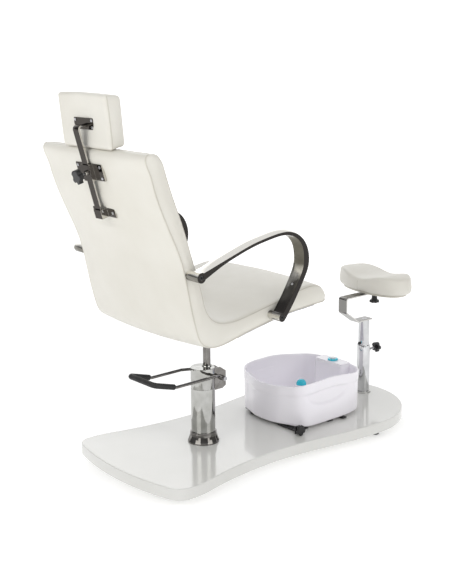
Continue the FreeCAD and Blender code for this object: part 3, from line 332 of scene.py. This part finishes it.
def cubic(at, knots, values):
    """Natural cubic spline through rows of values at the knots, read at each of at."""
    n = len(knots)
    h = np.diff(knots)
    a = np.zeros((n, n))
    b = np.zeros(values.shape)
    a[0, 0] = a[-1, -1] = 1.0
    for i in range(1, n - 1):
        a[i, i - 1] = h[i - 1]
        a[i, i] = 2 * (h[i - 1] + h[i])
        a[i, i + 1] = h[i]
        b[i] = 6 * ((values[i + 1] - values[i]) / h[i] - (values[i] - values[i - 1]) / h[i - 1])
    m = np.linalg.solve(a, b)
    k = np.clip(np.searchsorted(knots, at, side="right") - 1, 0, n - 2)
    u = (at - knots[k])[:, None]
    w = (knots[k + 1] - at)[:, None]
    hk = h[k][:, None]
    return (m[k] * w ** 3 + m[k + 1] * u ** 3) / (6 * hk) + (values[k] / hk - m[k] * hk / 6) * w \
        + (values[k + 1] / hk - m[k + 1] * hk / 6) * u


def spans(points):
    """Distances between neighbouring points."""
    return np.sqrt((np.diff(points, axis=0) ** 2).sum(1))


def closed_spline(points, count):
    """count points, evenly spaced, on a smooth closed curve through points."""
    p = np.array(points, float)
    p = np.vstack([p[-3:], p, p[:4]])
    t = np.concatenate([[0.0], np.cumsum(spans(p))])
    dense = cubic(np.linspace(t[3], t[-4], 3000), t, p)
    run = np.concatenate([[0.0], np.cumsum(spans(dense[:, :2]))])
    at = np.linspace(0, run[-1], count + 1)[:-1]
    return np.stack([np.interp(at, run, dense[:, c]) for c in range(p.shape[1])], axis=1)


def mesh_object(name, verts, faces, material):
    """A smooth-shaded object, with outward normals and doubled points joined."""
    data = bpy.data.meshes.new(name)
    data.from_pydata([tuple(v) for v in verts], [], faces)
    data.materials.append(material)
    obj = bpy.data.objects.new(name, data)
    bpy.context.scene.collection.objects.link(obj)
    edit = bmesh.new()
    edit.from_mesh(data)
    bmesh.ops.remove_doubles(edit, verts=edit.verts, dist=1e-6)
    bmesh.ops.recalc_face_normals(edit, faces=edit.faces)
    edit.to_mesh(data)
    edit.free()
    for face in data.polygons:
        face.use_smooth = True
    return obj


def grid_faces(rows, columns, closed):
    """Quads between rows of points, each row joined end to end when closed."""
    faces = []
    last = columns if closed else columns - 1
    for i in range(rows - 1):
        for j in range(last):
            k = (j + 1) % columns
            faces.append((i * columns + j, i * columns + k, (i + 1) * columns + k, (i + 1) * columns + j))
    return faces


def capped_faces(rows, columns):
    """Faces of closed rows with a cap on the first and on the last."""
    last = (rows - 1) * columns
    return grid_faces(rows, columns, True) + [tuple(range(columns)), tuple(range(last, last + columns))]


def tube(name, points, radius, material, closed=False, sides=10):
    """A round welt or rod along points given in metres."""
    path = np.array(points, float)
    n = len(path)
    verts = []
    previous = None
    for i in range(n):
        if closed:
            run = path[(i + 1) % n] - path[i - 1]
        else:
            run = path[min(i + 1, n - 1)] - path[max(i - 1, 0)]
        run = run / np.linalg.norm(run)
        if previous is None:
            trial = np.array([0.0, 0.0, 1.0]) if abs(run[2]) < 0.9 else np.array([1.0, 0.0, 0.0])
            previous = np.cross(run, trial)
        side = previous - run * previous.dot(run)
        side = side / np.linalg.norm(side)
        previous = side
        up = np.cross(run, side)
        for j in range(sides):
            angle = 2 * math.pi * j / sides
            verts.append(path[i] + (side * math.cos(angle) + up * math.sin(angle)) * radius)
    if closed:
        faces = grid_faces(n, sides, True)
        for j in range(sides):
            k = (j + 1) % sides
            faces.append(((n - 1) * sides + j, (n - 1) * sides + k, k, j))
    else:
        faces = capped_faces(n, sides)
    return mesh_object(name, verts, faces, material)


def subdivide(obj, levels=1):
    change = obj.modifiers.new("smooth", "SUBSURF")
    change.levels = levels
    change.render_levels = levels
    return obj


def smooth_step(x):
    x = min(1.0, max(0.0, x))
    return x * x * (3 - 2 * x)


def wobble(x, y, z, seed=0.0):
    """Smooth pseudo-random value from -1 to 1 for slight unevenness in padding."""
    return (math.sin(x * 1.7 + seed) * math.cos(y * 1.3 - seed * 2) + math.sin(z * 1.1 + x * 0.7 + seed * 3)
            + math.cos(y * 2.3 - z * 1.9 + seed)) / 3


# ------------------------------------------------------------------ seat and back


# The shell's rear and front faces in side view (y, z), matched point by point from the top edge down and
# forward to the seat's front edge, and how far each face is crowned there.
SHELL_HALF = 266.0
REAR_LINE = [(398.0, 1056.0), (411.0, 1054.0), (419.0, 1046.0), (407.0, 1003.0), (394.0, 962.0),
             (340.0, 828.0), (301.0, 735.0), (283.0, 662.0), (268.0, 592.0), (250.0, 525.0),
             (232.0, 488.0), (198.0, 470.0), (158.0, 469.0), (86.0, 484.0), (-36.0, 509.0),
             (-120.0, 523.0), (-208.0, 530.0), (-252.0, 533.5), (-275.0, 537.5), (-285.0, 552.0)]
REAR_CROWN = [0.0, 5.0, 10.0, 16.0, 18.0, 22.0, 23.0, 20.0, 18.0, 15.0, 12.0, 9.0, 7.0, 4.0, 2.0, 1.0, 0.0,
              0.0, 0.0, 0.0]
FRONT_LINE = [(399.0, 1056.0), (377.0, 1054.0), (363.0, 1042.0), (345.0, 1003.0), (331.0, 960.0),
              (286.0, 841.0), (254.0, 741.0), (235.0, 682.0), (223.0, 637.0), (211.0, 592.0),
              (194.0, 566.0), (172.0, 549.0), (146.0, 541.0), (100.0, 539.5), (-15.0, 560.0),
              (-105.0, 578.5), (-195.0, 596.5), (-246.0, 594.5), (-273.0, 577.0), (-285.0, 552.0)]
FRONT_CROWN = [0.0, 1.0, 1.0, 3.0, 5.0, 10.0, 14.0, 11.0, 7.0, 4.0, 2.0, 3.0, 5.0, 8.0, 13.0, 14.0, 11.0,
               8.0, 4.0, 0.0]


def shell_rows(count):
    """Matched points of the rear and front lines, with their crowns."""
    gaps = spans(np.array(REAR_LINE)) + spans(np.array(FRONT_LINE))
    keys = np.concatenate([[0.0], np.cumsum(gaps / 2)])
    keys /= keys[-1]
    at = np.linspace(0.0, 1.0, count)
    at -= 0.012 * np.sin(2 * math.pi * at)
    return [cubic(at, keys, np.column_stack([line, crown]))
            for line, crown in ((REAR_LINE, REAR_CROWN), (FRONT_LINE, FRONT_CROWN))]


ROWS = 230
REAR_ROWS, FRONT_ROWS = shell_rows(ROWS)


def row_normals(line):
    """Unit normals of a line of points."""
    run = np.gradient(line[:, :2], axis=0)
    run /= np.maximum(np.linalg.norm(run, axis=1), 1e-9)[:, None]
    return np.column_stack([run[:, 1], -run[:, 0]])


REAR_OUT = -row_normals(REAR_ROWS)
FRONT_OUT = row_normals(FRONT_ROWS)
PANEL_POINTS = 56
# Height of each plate on the back, half its reach sideways and in height, and how deep it presses.
PLATE_DENTS = ((862.0, 66.0, 26.0, 4.2), (975.0, 78.0, 38.0, 3.4))


def half_width(i):
    """Half of the shell's width, narrowing in a curve at its top and at the seat's front edge."""
    width = SHELL_HALF
    for end, reach, drop in ((0, 22.0, 16.0), (-1, 30.0, 22.0)):
        away = min(np.linalg.norm(REAR_ROWS[i, :2] - REAR_ROWS[end, :2]), reach)
        width -= drop * (1 - math.sqrt(max(0.0, 1 - (1 - away / reach) ** 2)))
    return width


def plate_dent(x, y, z):
    """How far the padding is pressed in round the two plates screwed to the back."""
    if y < 0 or z < 700:
        return 0.0
    depth = 0.0
    for centre, reach_x, reach_z, deep in PLATE_DENTS:
        away = (abs(x / reach_x) ** 3 + abs((z - centre) / reach_z) ** 3) ** (1 / 3)
        depth = max(depth, deep * (1 - smooth_step((away - 0.7) / 0.75)))
    return depth


def rear_panel(i, width):
    """Row i of the crowned rear face, width being half of its flat part."""
    a, crown = REAR_ROWS[i, :2], REAR_ROWS[i, 2]
    row = []
    for s in np.linspace(-1, 1, PANEL_POINTS):
        lift = crown * (1 - abs(s) ** 2.1)
        lift += 0.8 * row_fade(i) * wobble(s * width / 60, a[0] / 70, a[1] / 80) * (1 - s * s)
        lift -= plate_dent(s * width, a[0], a[1])
        row.append((s * width, *(a + REAR_OUT[i] * lift)))
    return row


def front_panel(i, width):
    """Row i of the crowned front face, from right to left."""
    b, crown = FRONT_ROWS[i, :2], FRONT_ROWS[i, 2]
    row = []
    for s in np.linspace(1, -1, PANEL_POINTS):
        lift = crown * (1 - abs(s) ** 2.4)
        lift += row_fade(i) * wobble(s * width / 45, b[0] / 50, b[1] / 60, 5.0) * (1 - s * s)
        row.append((s * width, *(b + FRONT_OUT[i] * lift)))
    return row


def side_panel(a, across, thickness, width, rear_round, front_round, fade):
    """One row of a bulging side face between its two rounded edges."""
    row = []
    for k in range(1, 5):
        turn = math.pi / 2 * k / 5
        row.append((width - rear_round + rear_round * math.sin(turn),
                    *(a + across * (rear_round * (1 - math.cos(turn))))))
    for s in np.linspace(0, 1, 9):
        bulge = 3.0 * fade * (1 - (2 * s - 1) ** 2)
        bulge += 0.5 * fade * wobble(s * 2, a[0] / 30, a[1] / 30, 2.0)
        depth = rear_round + (thickness - rear_round - front_round) * s
        row.append((width + bulge, *(a + across * depth)))
    for k in range(1, 8):
        turn = math.pi / 2 * k / 8
        row.append((width - front_round + front_round * math.cos(turn),
                    *(a + across * (thickness - front_round + front_round * math.sin(turn)))))
    return row


def row_fade(i):
    """1 where the shell is thick, falling to 0 at its thin ends."""
    return min(1.0, np.linalg.norm(FRONT_ROWS[i, :2] - REAR_ROWS[i, :2]) / 30.0)


def shell_mesh():
    """The one-piece seat and back: a crowned rear panel, side panels and a crowned front."""
    verts = []
    seam_rear = {1: [], -1: []}
    seam_front = {1: [], -1: []}
    for i in range(ROWS):
        a, b = REAR_ROWS[i, :2], FRONT_ROWS[i, :2]
        thickness = np.linalg.norm(b - a)
        across = (b - a) / max(thickness, 1e-6)
        width = half_width(i)
        rear_round = min(7.0, thickness * 0.22)
        front_round = min(15.0, thickness * 0.33)
        side = side_panel(a, across, thickness, width, rear_round, front_round, row_fade(i))
        ring = rear_panel(i, width - rear_round) + side + front_panel(i, width - front_round)
        ring += [(-x, y, z) for x, y, z in reversed(side)]
        verts += [place(*p) for p in ring]
        for sign in (1, -1):
            at = a + across * (rear_round * 0.45)
            seam_rear[sign].append(place(sign * (width - rear_round * 0.10), *at))
            at = a + across * (thickness - front_round * 0.32)
            seam_front[sign].append(place(sign * (width - front_round * 0.30), *at))
    faces = capped_faces(ROWS, len(ring))
    return mesh_object("seat_upholstery", verts, faces, WHITE_LEATHER), seam_rear, seam_front


shell, seam_rear, seam_front = shell_mesh()
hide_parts("seat_cushion", "back_board")
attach(shell, "seat")
for sign, side_name in ((1, "left"), (-1, "right")):
    for lines, kind, radius, first, last in ((seam_rear, "rear", 1.9, 3, -4),
                                             (seam_front, "front", 1.6, 5, -8)):
        line = lines[sign][first:last]
        welt = tube("seat_welt_" + kind + "_" + side_name, line, radius * MM, SEAM_LEATHER)
        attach(welt, "seat")


LINING_POINTS = 24


def dust_cover():
    """Thin lining tacked under the seat."""
    verts = []
    used = [i for i in range(ROWS) if -236.0 < REAR_ROWS[i, 0] < 92.0 and REAR_ROWS[i, 1] < 560.0]
    for i in used:
        a = REAR_ROWS[i, :2]
        for layer in (0.3, 2.2):
            for s in np.linspace(-1, 1, LINING_POINTS):
                lift = layer + REAR_ROWS[i, 2] * (1 - abs(s) ** 2.2) + 0.4 * wobble(s * 9, a[0] / 20, layer)
                verts.append(place(s * 262.0, *(a + REAR_OUT[i] * lift)))
    n, row = LINING_POINTS, 2 * LINING_POINTS
    faces = []
    for r in range(len(used) - 1):
        for low in range(r * row, r * row + n - 1):
            faces.append((low, low + 1, low + row + 1, low + row))
            faces.append((low + n, low + n + 1, low + n + row + 1, low + n + row))
        for low in (r * row, r * row + n - 1):
            faces.append((low, low + n, low + n + row, low + row))
    for r in (0, len(used) - 1):
        for low in range(r * row, r * row + n - 1):
            faces.append((low, low + 1, low + n + 1, low + n))
    return mesh_object("seat_dust_cover", verts, faces, DUST_COVER)


ARM_SCREW = (-98.0, 626.0)
SCREW_PROFILE = ((1.0, -0.4), (1.0, 0.15), (0.93, 0.32), (0.75, 0.45), (0.5, 0.52), (0.28, 0.54))


def pan_screw(name, at, facing, radius):
    """Small cross-recessed pan-head screw at a point, its head along facing."""
    out = np.array(facing, float) / np.linalg.norm(facing)
    side = np.cross(out, [1.0, 0.0, 0.0])
    side /= np.linalg.norm(side)
    up = np.cross(out, side)
    verts = []
    points = 32
    for scale, rise in SCREW_PROFILE:
        for j in range(points):
            angle = 2 * math.pi * j / points
            notch = 0.22 * max(0.0, math.cos(2 * angle)) ** 8 if scale < 0.8 else 0.0
            p = (side * math.cos(angle) + up * math.sin(angle)) * scale * radius
            verts.append(place(*(np.array(at) + p + out * (rise - notch) * radius)))
    return mesh_object(name, verts, capped_faces(len(SCREW_PROFILE), points), STEEL)


for sign, side_name in ((1, "left"), (-1, "right")):
    screw = pan_screw("armrest_screw_" + side_name, (sign * 301.0, *ARM_SCREW), (0, 0.83, 0.56), 4.2)
    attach(screw, "seat")

lining = dust_cover()
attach(lining, "seat")


# ------------------------------------------------------------------ headrest


def block_point(u, v, w, size, radius):
    """A point of a box's surface, with its edges and corners rounded."""
    half = np.array(size) / 2
    p = np.array([u, v, w]) * half
    inner = np.clip(p, -(half - radius), half - radius)
    away = p - inner
    length = np.linalg.norm(away)
    if length < 1e-9:
        return p
    return inner + away / length * radius


def rounded_block(name, size, radius, cells, warp, material):
    """A rounded box whose points are then moved by warp."""
    made = bmesh.new()
    steps = [np.linspace(-1, 1, n + 1) for n in cells]
    seen = {}

    def vert(i, j, k):
        key = (i, j, k)
        if key not in seen:
            p = block_point(steps[0][i], steps[1][j], steps[2][k], size, radius)
            seen[key] = made.verts.new(warp(p))
        return seen[key]

    nx, ny, nz = cells
    for i in range(nx):
        for j in range(ny):
            for k in (0, nz):
                made.faces.new([vert(i, j, k), vert(i + 1, j, k), vert(i + 1, j + 1, k), vert(i, j + 1, k)])
    for i in range(nx):
        for k in range(nz):
            for j in (0, ny):
                made.faces.new([vert(i, j, k), vert(i + 1, j, k), vert(i + 1, j, k + 1), vert(i, j, k + 1)])
    for j in range(ny):
        for k in range(nz):
            for i in (0, nx):
                made.faces.new([vert(i, j, k), vert(i, j + 1, k), vert(i, j + 1, k + 1), vert(i, j, k + 1)])
    bmesh.ops.recalc_face_normals(made, faces=made.faces)
    data = bpy.data.meshes.new(name)
    made.to_mesh(data)
    made.free()
    data.materials.append(material)
    obj = bpy.data.objects.new(name, data)
    bpy.context.scene.collection.objects.link(obj)
    for face in data.polygons:
        face.use_smooth = True
    return obj


HEAD_HALF = 121.0


def headrest_point(s, depth, rise):
    """s across from -1 to 1, depth 0 at the rear face to 1 at the front, rise 0 at the bottom to 1."""
    rear = np.array([428.5, 1058.5]) * (1 - rise) + np.array([444.0, 1209.5]) * rise
    front = np.array([382.0, 1068.0]) * (1 - rise) + np.array([394.0, 1203.0]) * rise
    at = rear * (1 - depth) + front * depth
    bow = 5.0 * (1 - s * s) * depth + 9.0 * (1 - s * s) * (1 - (2 * rise - 1) ** 2) * depth
    away = math.hypot(s / 0.62, (rise - 0.52) / 0.48)
    bow -= (5.5 * smooth_step((away - 0.35) / 0.65) - 0.6) * (1 - depth) ** 2
    top = 3.0 * (1 - s * s) * rise
    sides = 4.0 * (1 - (2 * rise - 1) ** 2) * (1 - abs(2 * depth - 1) ** 2)
    x = s * (HEAD_HALF - 0.5) + math.copysign(sides, s) * abs(s) ** 3
    return x, at[0] - bow, at[1] + top


def headrest():
    """The headrest's block, bent to shape, and the welt round its rear edge."""
    size = (242.0, 44.0, 150.0)

    def warp(p):
        s, d, r = p[0] / 118.0, 0.52 - p[1] / 42.0, p[2] / 144.0 + 0.51
        x, y, z = headrest_point(s, d, r)
        z += 0.7 * wobble(p[0] / 22, p[1] / 15, p[2] / 25, 1.0)
        return place(x, y, z)

    pad = rounded_block("headrest_pad", size, 10.0, (46, 12, 30), warp, WHITE_LEATHER)
    seam = []
    for s, r in rounded_rectangle(1.018, 0.10, 40):
        x, y, z = headrest_point(s, 0.15, 0.5 + r / 2)
        seam.append(place(x, y, z))
    welt = tube("headrest_welt", seam, 1.7 * MM, SEAM_LEATHER, closed=True)
    return pad, welt


def rounded_rectangle(extent, corner, per_side):
    """Points round a square of half-size extent with round corners, in order."""
    points = []
    inner = extent - corner
    for q, (cx, cy) in enumerate(((inner, inner), (-inner, inner), (-inner, -inner), (inner, -inner))):
        for i in range(9):
            angle = math.pi / 2 * (q + i / 8)
            points.append((cx + corner * math.cos(angle), cy + corner * math.sin(angle)))
        nx, ny = ((-inner, inner), (-inner, -inner), (inner, -inner), (inner, inner))[q]
        end_angle = math.pi / 2 * (q + 1)
        ax, ay = cx + corner * math.cos(end_angle), cy + corner * math.sin(end_angle)
        bx, by = nx + corner * math.cos(end_angle), ny + corner * math.sin(end_angle)
        for i in range(1, per_side):
            points.append((ax + (bx - ax) * i / per_side, ay + (by - ay) * i / per_side))
    return points


head_pad, head_welt = headrest()
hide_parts("headrest_cushion")
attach(head_pad, "headrest")
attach(head_welt, "headrest")


# ------------------------------------------------------------------ footrest pad


PAD_Y = -808.0
PAD_HALF = (170.0, 84.0)
PAD_TURN = math.radians(-8.0)


def pad_plan(angle, scale, grow=0.0):
    """A point of the pad's squarish oval, along and across its length."""
    c, s = math.cos(angle), math.sin(angle)
    u = math.copysign(abs(c) ** (2 / 2.3), c) * (PAD_HALF[0] * scale + grow)
    v = math.copysign(abs(s) ** (2 / 2.3), s) * (PAD_HALF[1] * scale + grow)
    return u, v


def pad_place(u, v, z):
    c, s = math.cos(PAD_TURN), math.sin(PAD_TURN)
    return place(u * c - v * s, PAD_Y + u * s + v * c, z)


def pad_top(u, v):
    """Height of the pad's top: two lobes with a valley between them for the leg."""
    lobe = smooth_step(abs(u) / 118.0)
    valley = 499.5 + 17.0 * lobe - 7.0 * smooth_step((abs(u) - 118.0) / 60.0)
    return valley + 4.0 * (1 - (v / PAD_HALF[1]) ** 2) + 0.6 * wobble(u / 24, v / 20, 0.0, 4.0)


def footrest_pad():
    """The pad as rings from the middle of its top, over its edge, to the middle of its underside."""
    steps = 120
    profile = []
    for s in (0.0, 0.12, 0.24, 0.36, 0.48, 0.58, 0.67, 0.75, 0.81, 0.855):
        profile.append((s, 0.0, None, 0.0))
    for i in range(1, 8):
        f = math.pi / 2 * i / 7
        profile.append((0.88 + 0.105 * math.sin(f), 0.0, None, -11.0 * (1 - math.cos(f))))
    for s, grow, z in ((1.0, 0.0, 487.0), (1.0, 1.2, 480.0), (1.0, 1.4, 472.0), (1.0, 0.4, 464.0),
                       (0.985, 0.0, 458.5), (0.955, 0.0, 455.0), (0.90, 0.0, 454.1), (0.6, 0.0, 454.0),
                       (0.3, 0.0, 454.0), (0.0, 0.0, 454.0)):
        profile.append((s, grow, z, 0.0))
    verts = []
    for s, grow, z, drop in profile:
        for j in range(steps):
            u, v = pad_plan(2 * math.pi * j / steps, s, grow)
            if z is not None:
                pinch = 1.3 * math.exp(-(u / 5.0) ** 2) * smooth_step((z - 454.0) / 10.0)
                v -= math.copysign(pinch, v)
                u += 0.5 * wobble(v / 15, z / 11, u / 30, 6.0)
            height = pad_top(u, v) + drop if z is None else z
            verts.append(pad_place(u, v, height))
    pad = mesh_object("footrest_upholstery", verts, grid_faces(len(profile), steps, True), WHITE_LEATHER)
    seams = []
    for sign in (1, -1):
        line = [pad_place(0.0, sign * (PAD_HALF[1] + d), z) for d, z in
                ((-2.2, 491.0), (-0.6, 486.0), (-0.3, 479.0), (-0.2, 471.0), (-0.9, 463.0), (-1.9, 457.5))]
        name = "footrest_seam_" + ("rear" if sign > 0 else "front")
        seams.append(tube(name, line, 0.9 * MM, SEAM_LEATHER))
    return subdivide(pad), seams


foot_pad, foot_seams = footrest_pad()
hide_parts("footrest_pad")
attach(foot_pad, "footrest_cushion")
for seam_line in foot_seams:
    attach(seam_line, "footrest_cushion")


# ------------------------------------------------------------------ foot bath


# Half of the bath's plan (x, y) from its side towards the pump to the one towards the post, and the height
# of its rim along y.
TUB_LINE = [(0.0, -246.0), (60.0, -253.0), (105.6, -269.8), (136.0, -281.0), (152.0, -296.0),
            (161.0, -315.0), (165.0, -340.0), (165.0, -400.0), (165.0, -455.0), (163.5, -495.0),
            (157.0, -535.0), (142.0, -574.0), (115.0, -599.0), (82.5, -610.0), (40.0, -616.5),
            (0.0, -618.0)]
TUB_RIM = [(-640.0, 213.0), (-580.0, 213.0), (-545.0, 214.0), (-500.0, 221.0), (-430.0, 228.0),
           (-340.0, 225.0), (-300.0, 220.0), (-272.0, 210.0), (-246.0, 204.5), (-200.0, 204.0)]
BAND_DROP = 34.0
FLOOR_UNDER, FLOOR_TOP = 74.5, 82.0


def tub_outline(count):
    """Plan of the bath and its outward normals."""
    line = closed_spline(TUB_LINE + [(-x, y) for x, y in TUB_LINE[-2:0:-1]], count)
    run = np.roll(line, -1, axis=0) - np.roll(line, 1, axis=0)
    run /= np.linalg.norm(run, axis=1)[:, None]
    out = np.column_stack([run[:, 1], -run[:, 0]])
    return line, out if out[0, 1] > 0 else -out


def rim_heights(ys):
    """Height of the rim at each point, smoothed over nine neighbours."""
    rims = np.interp(ys, *np.array(TUB_RIM).T)
    return np.convolve(np.concatenate([rims[-4:], rims, rims[:4]]), np.ones(9) / 9, "valid")


def basin_levels():
    """Rings of the bath from the outside of its floor, over the rim, to the inside: inset, kind, height."""
    levels = [(inset, "height", z) for inset, z in ((60.0, 70.0), (20.0, 70.0), (8.0, 70.0), (4.0, 71.2),
                                                    (2.2, 74.5))]
    levels += [(1.8, "wall", f) for f in np.linspace(0.05, 0.97, 22)]
    levels += [(1.2, "band", -1.5), (0.2, "band", 1.5), (-0.3, "band", 6.0)]
    levels += [(-0.3, "rim", -drop) for drop in (22.0, 14.0, 8.0, 4.0)]
    levels += [(inset, "rim", rise) for inset, rise in ((-1.0, -2.5), (-0.6, -0.8), (0.9, 0.0), (3.0, -0.2),
                                                        (5.0, -1.6), (5.8, -4.5), (6.0, -9.0))]
    levels += [(6.4, "inner", f) for f in np.linspace(0.9, 0.1, 10)]
    levels += [(inset, "height", z) for inset, z in ((7.5, 82.0), (10.0, 78.0), (16.0, 75.6), (24.0, 75.2),
                                                     (70.0, 75.1))]
    return levels


def level_height(kind, value, rim):
    band = rim - BAND_DROP
    if kind == "wall":
        return FLOOR_UNDER + (band - 2.0 - FLOOR_UNDER) * value
    if kind == "inner":
        return FLOOR_TOP + (rim - 10.0 - FLOOR_TOP) * value
    return value + {"height": 0.0, "band": band, "rim": rim}[kind]


def basin():
    """The bath's wall and floor, with a step under the rim's band and a finger recess on each side."""
    count = 220
    line, out = tub_outline(count)
    rims = rim_heights(line[:, 1])
    levels = basin_levels()
    verts = []
    for inset, kind, value in levels:
        for j in range(count):
            z = level_height(kind, value, rims[j])
            push = inset + (grip_depth(*line[j], z) if kind == "wall" else 0.0)
            verts.append(place(*(line[j] - out[j] * push), z))
    return mesh_object("foot_bath", verts, capped_faces(len(levels), count), TUB_WHITE)


def grip_depth(x, y, z):
    """Crescent finger recess under the band, in the middle of each side."""
    if abs(x) < 150.0:
        return 0.0
    across = (y + 404.0) / 104.0
    if abs(across) >= 1:
        return 0.0
    bottom = 188.0 - 50.0 * math.sqrt(1 - across * across)
    if z < bottom - 3:
        return 0.0
    return 5.0 * smooth_step((z - bottom + 3) / 9.0) * math.sqrt(1 - across * across)


def control_housing():
    """Raised housing inside the front of the bath, under the control shelf."""
    centre = np.array([0.0, -589.0, 144.5])
    return rounded_block("bath_housing", (134.0, 50.0, 139.0), 5.0, (16, 8, 16),
                         lambda p: place(*(centre + p)), TUB_WHITE)


bath = basin()
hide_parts("tub_basin")
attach(bath, "tub")
housing = control_housing()
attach(housing, "tub")


# ------------------------------------------------------------------ floor, light and camera


FLOOR_HALF = 60


def studio_floor():
    """A wide roll of white paper with slightly greyer floor to its sides."""
    g = Graph("studio_floor")
    across = g.nodes.new("ShaderNodeVectorMath")
    across.operation = "DOT_PRODUCT"
    across.inputs[1].default_value = (0.643, 0.766, 0.0)
    g.link(g.coords, across.inputs[0])
    off = maths(g, "ABSOLUTE", across.outputs["Value"], None)
    colour = g.colours(g.ramp(off, 0.0, 5.0, 0.0, 1.0), (0.86,) * 3, (0.60,) * 3, 0.25, 0.7)
    g.finish(colour, g.ramp(g.noise(3.0, 2.0), 0.3, 0.7, 0.85, 0.95), None, Specular_IOR_Level=0.1,
             Emission_Color=(1, 1, 1, 1))
    radius = g.nodes.new("ShaderNodeVectorMath")
    radius.operation = "LENGTH"
    g.link(g.coords, radius.inputs[0])
    g.link(g.ramp(radius.outputs["Value"], 1.0, 6.0, 0.36, 0.75), g.shader.inputs["Emission Strength"])
    verts = [(x * FLOOR_HALF, y * FLOOR_HALF, 0) for x, y in ((-1, -1), (1, -1), (1, 1), (-1, 1))]
    floor = mesh_object("studio_floor", verts, [(0, 1, 2, 3)], g.material)


def soft_light(name, place_at, aim, width, height, power, colour=(1, 1, 1)):
    """A rectangular lamp in metres and watts, turned towards aim."""
    data = bpy.data.lights.new(name, "AREA")
    data.shape = "RECTANGLE"
    data.size = width
    data.size_y = height
    data.energy = power
    data.color = colour
    lamp = bpy.data.objects.new(name, data)
    bpy.context.scene.collection.objects.link(lamp)
    lamp.location = place_at
    lamp.rotation_mode = "QUATERNION"
    lamp.rotation_quaternion = (Vector(aim) - Vector(place_at)).to_track_quat("-Z", "Y")


def world_ramp(nodes, links, value, low, high, out_low, out_high):
    """Smooth ramp from out_low to out_high while value goes from low to high."""
    node = nodes.new("ShaderNodeMapRange")
    node.interpolation_type = "SMOOTHSTEP"
    node.inputs["From Min"].default_value = low
    node.inputs["From Max"].default_value = high
    node.inputs["To Min"].default_value = out_low
    node.inputs["To Max"].default_value = out_high
    links.new(value, node.inputs["Value"])
    return node.outputs["Result"]


def studio_world():
    """White round the far side and overhead, with darker bands for the chrome to reflect."""
    world = bpy.data.worlds.new("studio")
    world.use_nodes = True
    nodes = world.node_tree.nodes
    links = world.node_tree.links
    background = nodes["Background"]
    coords = nodes.new("ShaderNodeTexCoord").outputs["Generated"]
    parts = nodes.new("ShaderNodeSeparateXYZ")
    links.new(coords, parts.inputs["Vector"])
    far = nodes.new("ShaderNodeVectorMath")
    far.operation = "DOT_PRODUCT"
    far.inputs[1].default_value = (0.766, -0.643, 0.0)
    links.new(coords, far.inputs[0])
    side = world_ramp(nodes, links, far.outputs["Value"], 0.30, 0.80, 0.20, 1.15)
    up = world_ramp(nodes, links, parts.outputs["Z"], 0.15, 0.80, 0.10, 0.76)
    total = nodes.new("ShaderNodeMath")
    total.operation = "MAXIMUM"
    links.new(side, total.inputs[0])
    links.new(up, total.inputs[1])
    links.new(total.outputs["Value"], background.inputs["Color"])
    background.inputs["Strength"].default_value = 1.0
    bpy.context.scene.world = world


def photo_camera():
    """Camera at the viewing angle, with a slight roll."""
    azimuth, elevation, roll = math.radians(230.02), math.radians(13.24), math.radians(-0.53)
    back = Vector((math.sin(azimuth) * math.cos(elevation), -math.cos(azimuth) * math.cos(elevation),
                   math.sin(elevation)))
    right = Vector((math.cos(azimuth), math.sin(azimuth), 0))
    up = back.cross(right)
    turned_right = right * math.cos(roll) + up * math.sin(roll)
    turned_up = up * math.cos(roll) - right * math.sin(roll)
    data = bpy.data.cameras.new("camera")
    data.sensor_fit = "HORIZONTAL"
    data.sensor_width = 36.0
    data.lens = 85.18
    camera = bpy.data.objects.new("camera", data)
    bpy.context.scene.collection.objects.link(camera)
    target = Vector((0.0152, PISTON_Y * MM - 0.0980, 0.5457))
    where = target + back * 3.530
    camera.matrix_world = Matrix(((turned_right.x, turned_up.x, back.x, where.x),
                                  (turned_right.y, turned_up.y, back.y, where.y),
                                  (turned_right.z, turned_up.z, back.z, where.z),
                                  (0, 0, 0, 1)))
    data.clip_end = 200
    bpy.context.scene.camera = camera


studio_floor()
studio_world()
soft_light("key", (-0.6, 4.6, 2.5), (0, 0.2, 0.6), 3.4, 2.6, 62.0, (1.0, 0.99, 0.965))
soft_light("side", (-4.7, -0.9, 2.4), (0, 0, 0.5), 3.2, 2.4, 52.0, (1.0, 0.99, 0.97))
soft_light("far_side", (3.6, -2.6, 3.0), (0, 0, 0.5), 2.4, 2.4, 14.0)
photo_camera()
bpy.context.scene.view_settings.view_transform = "Standard"
bpy.context.scene.view_settings.look = "None"
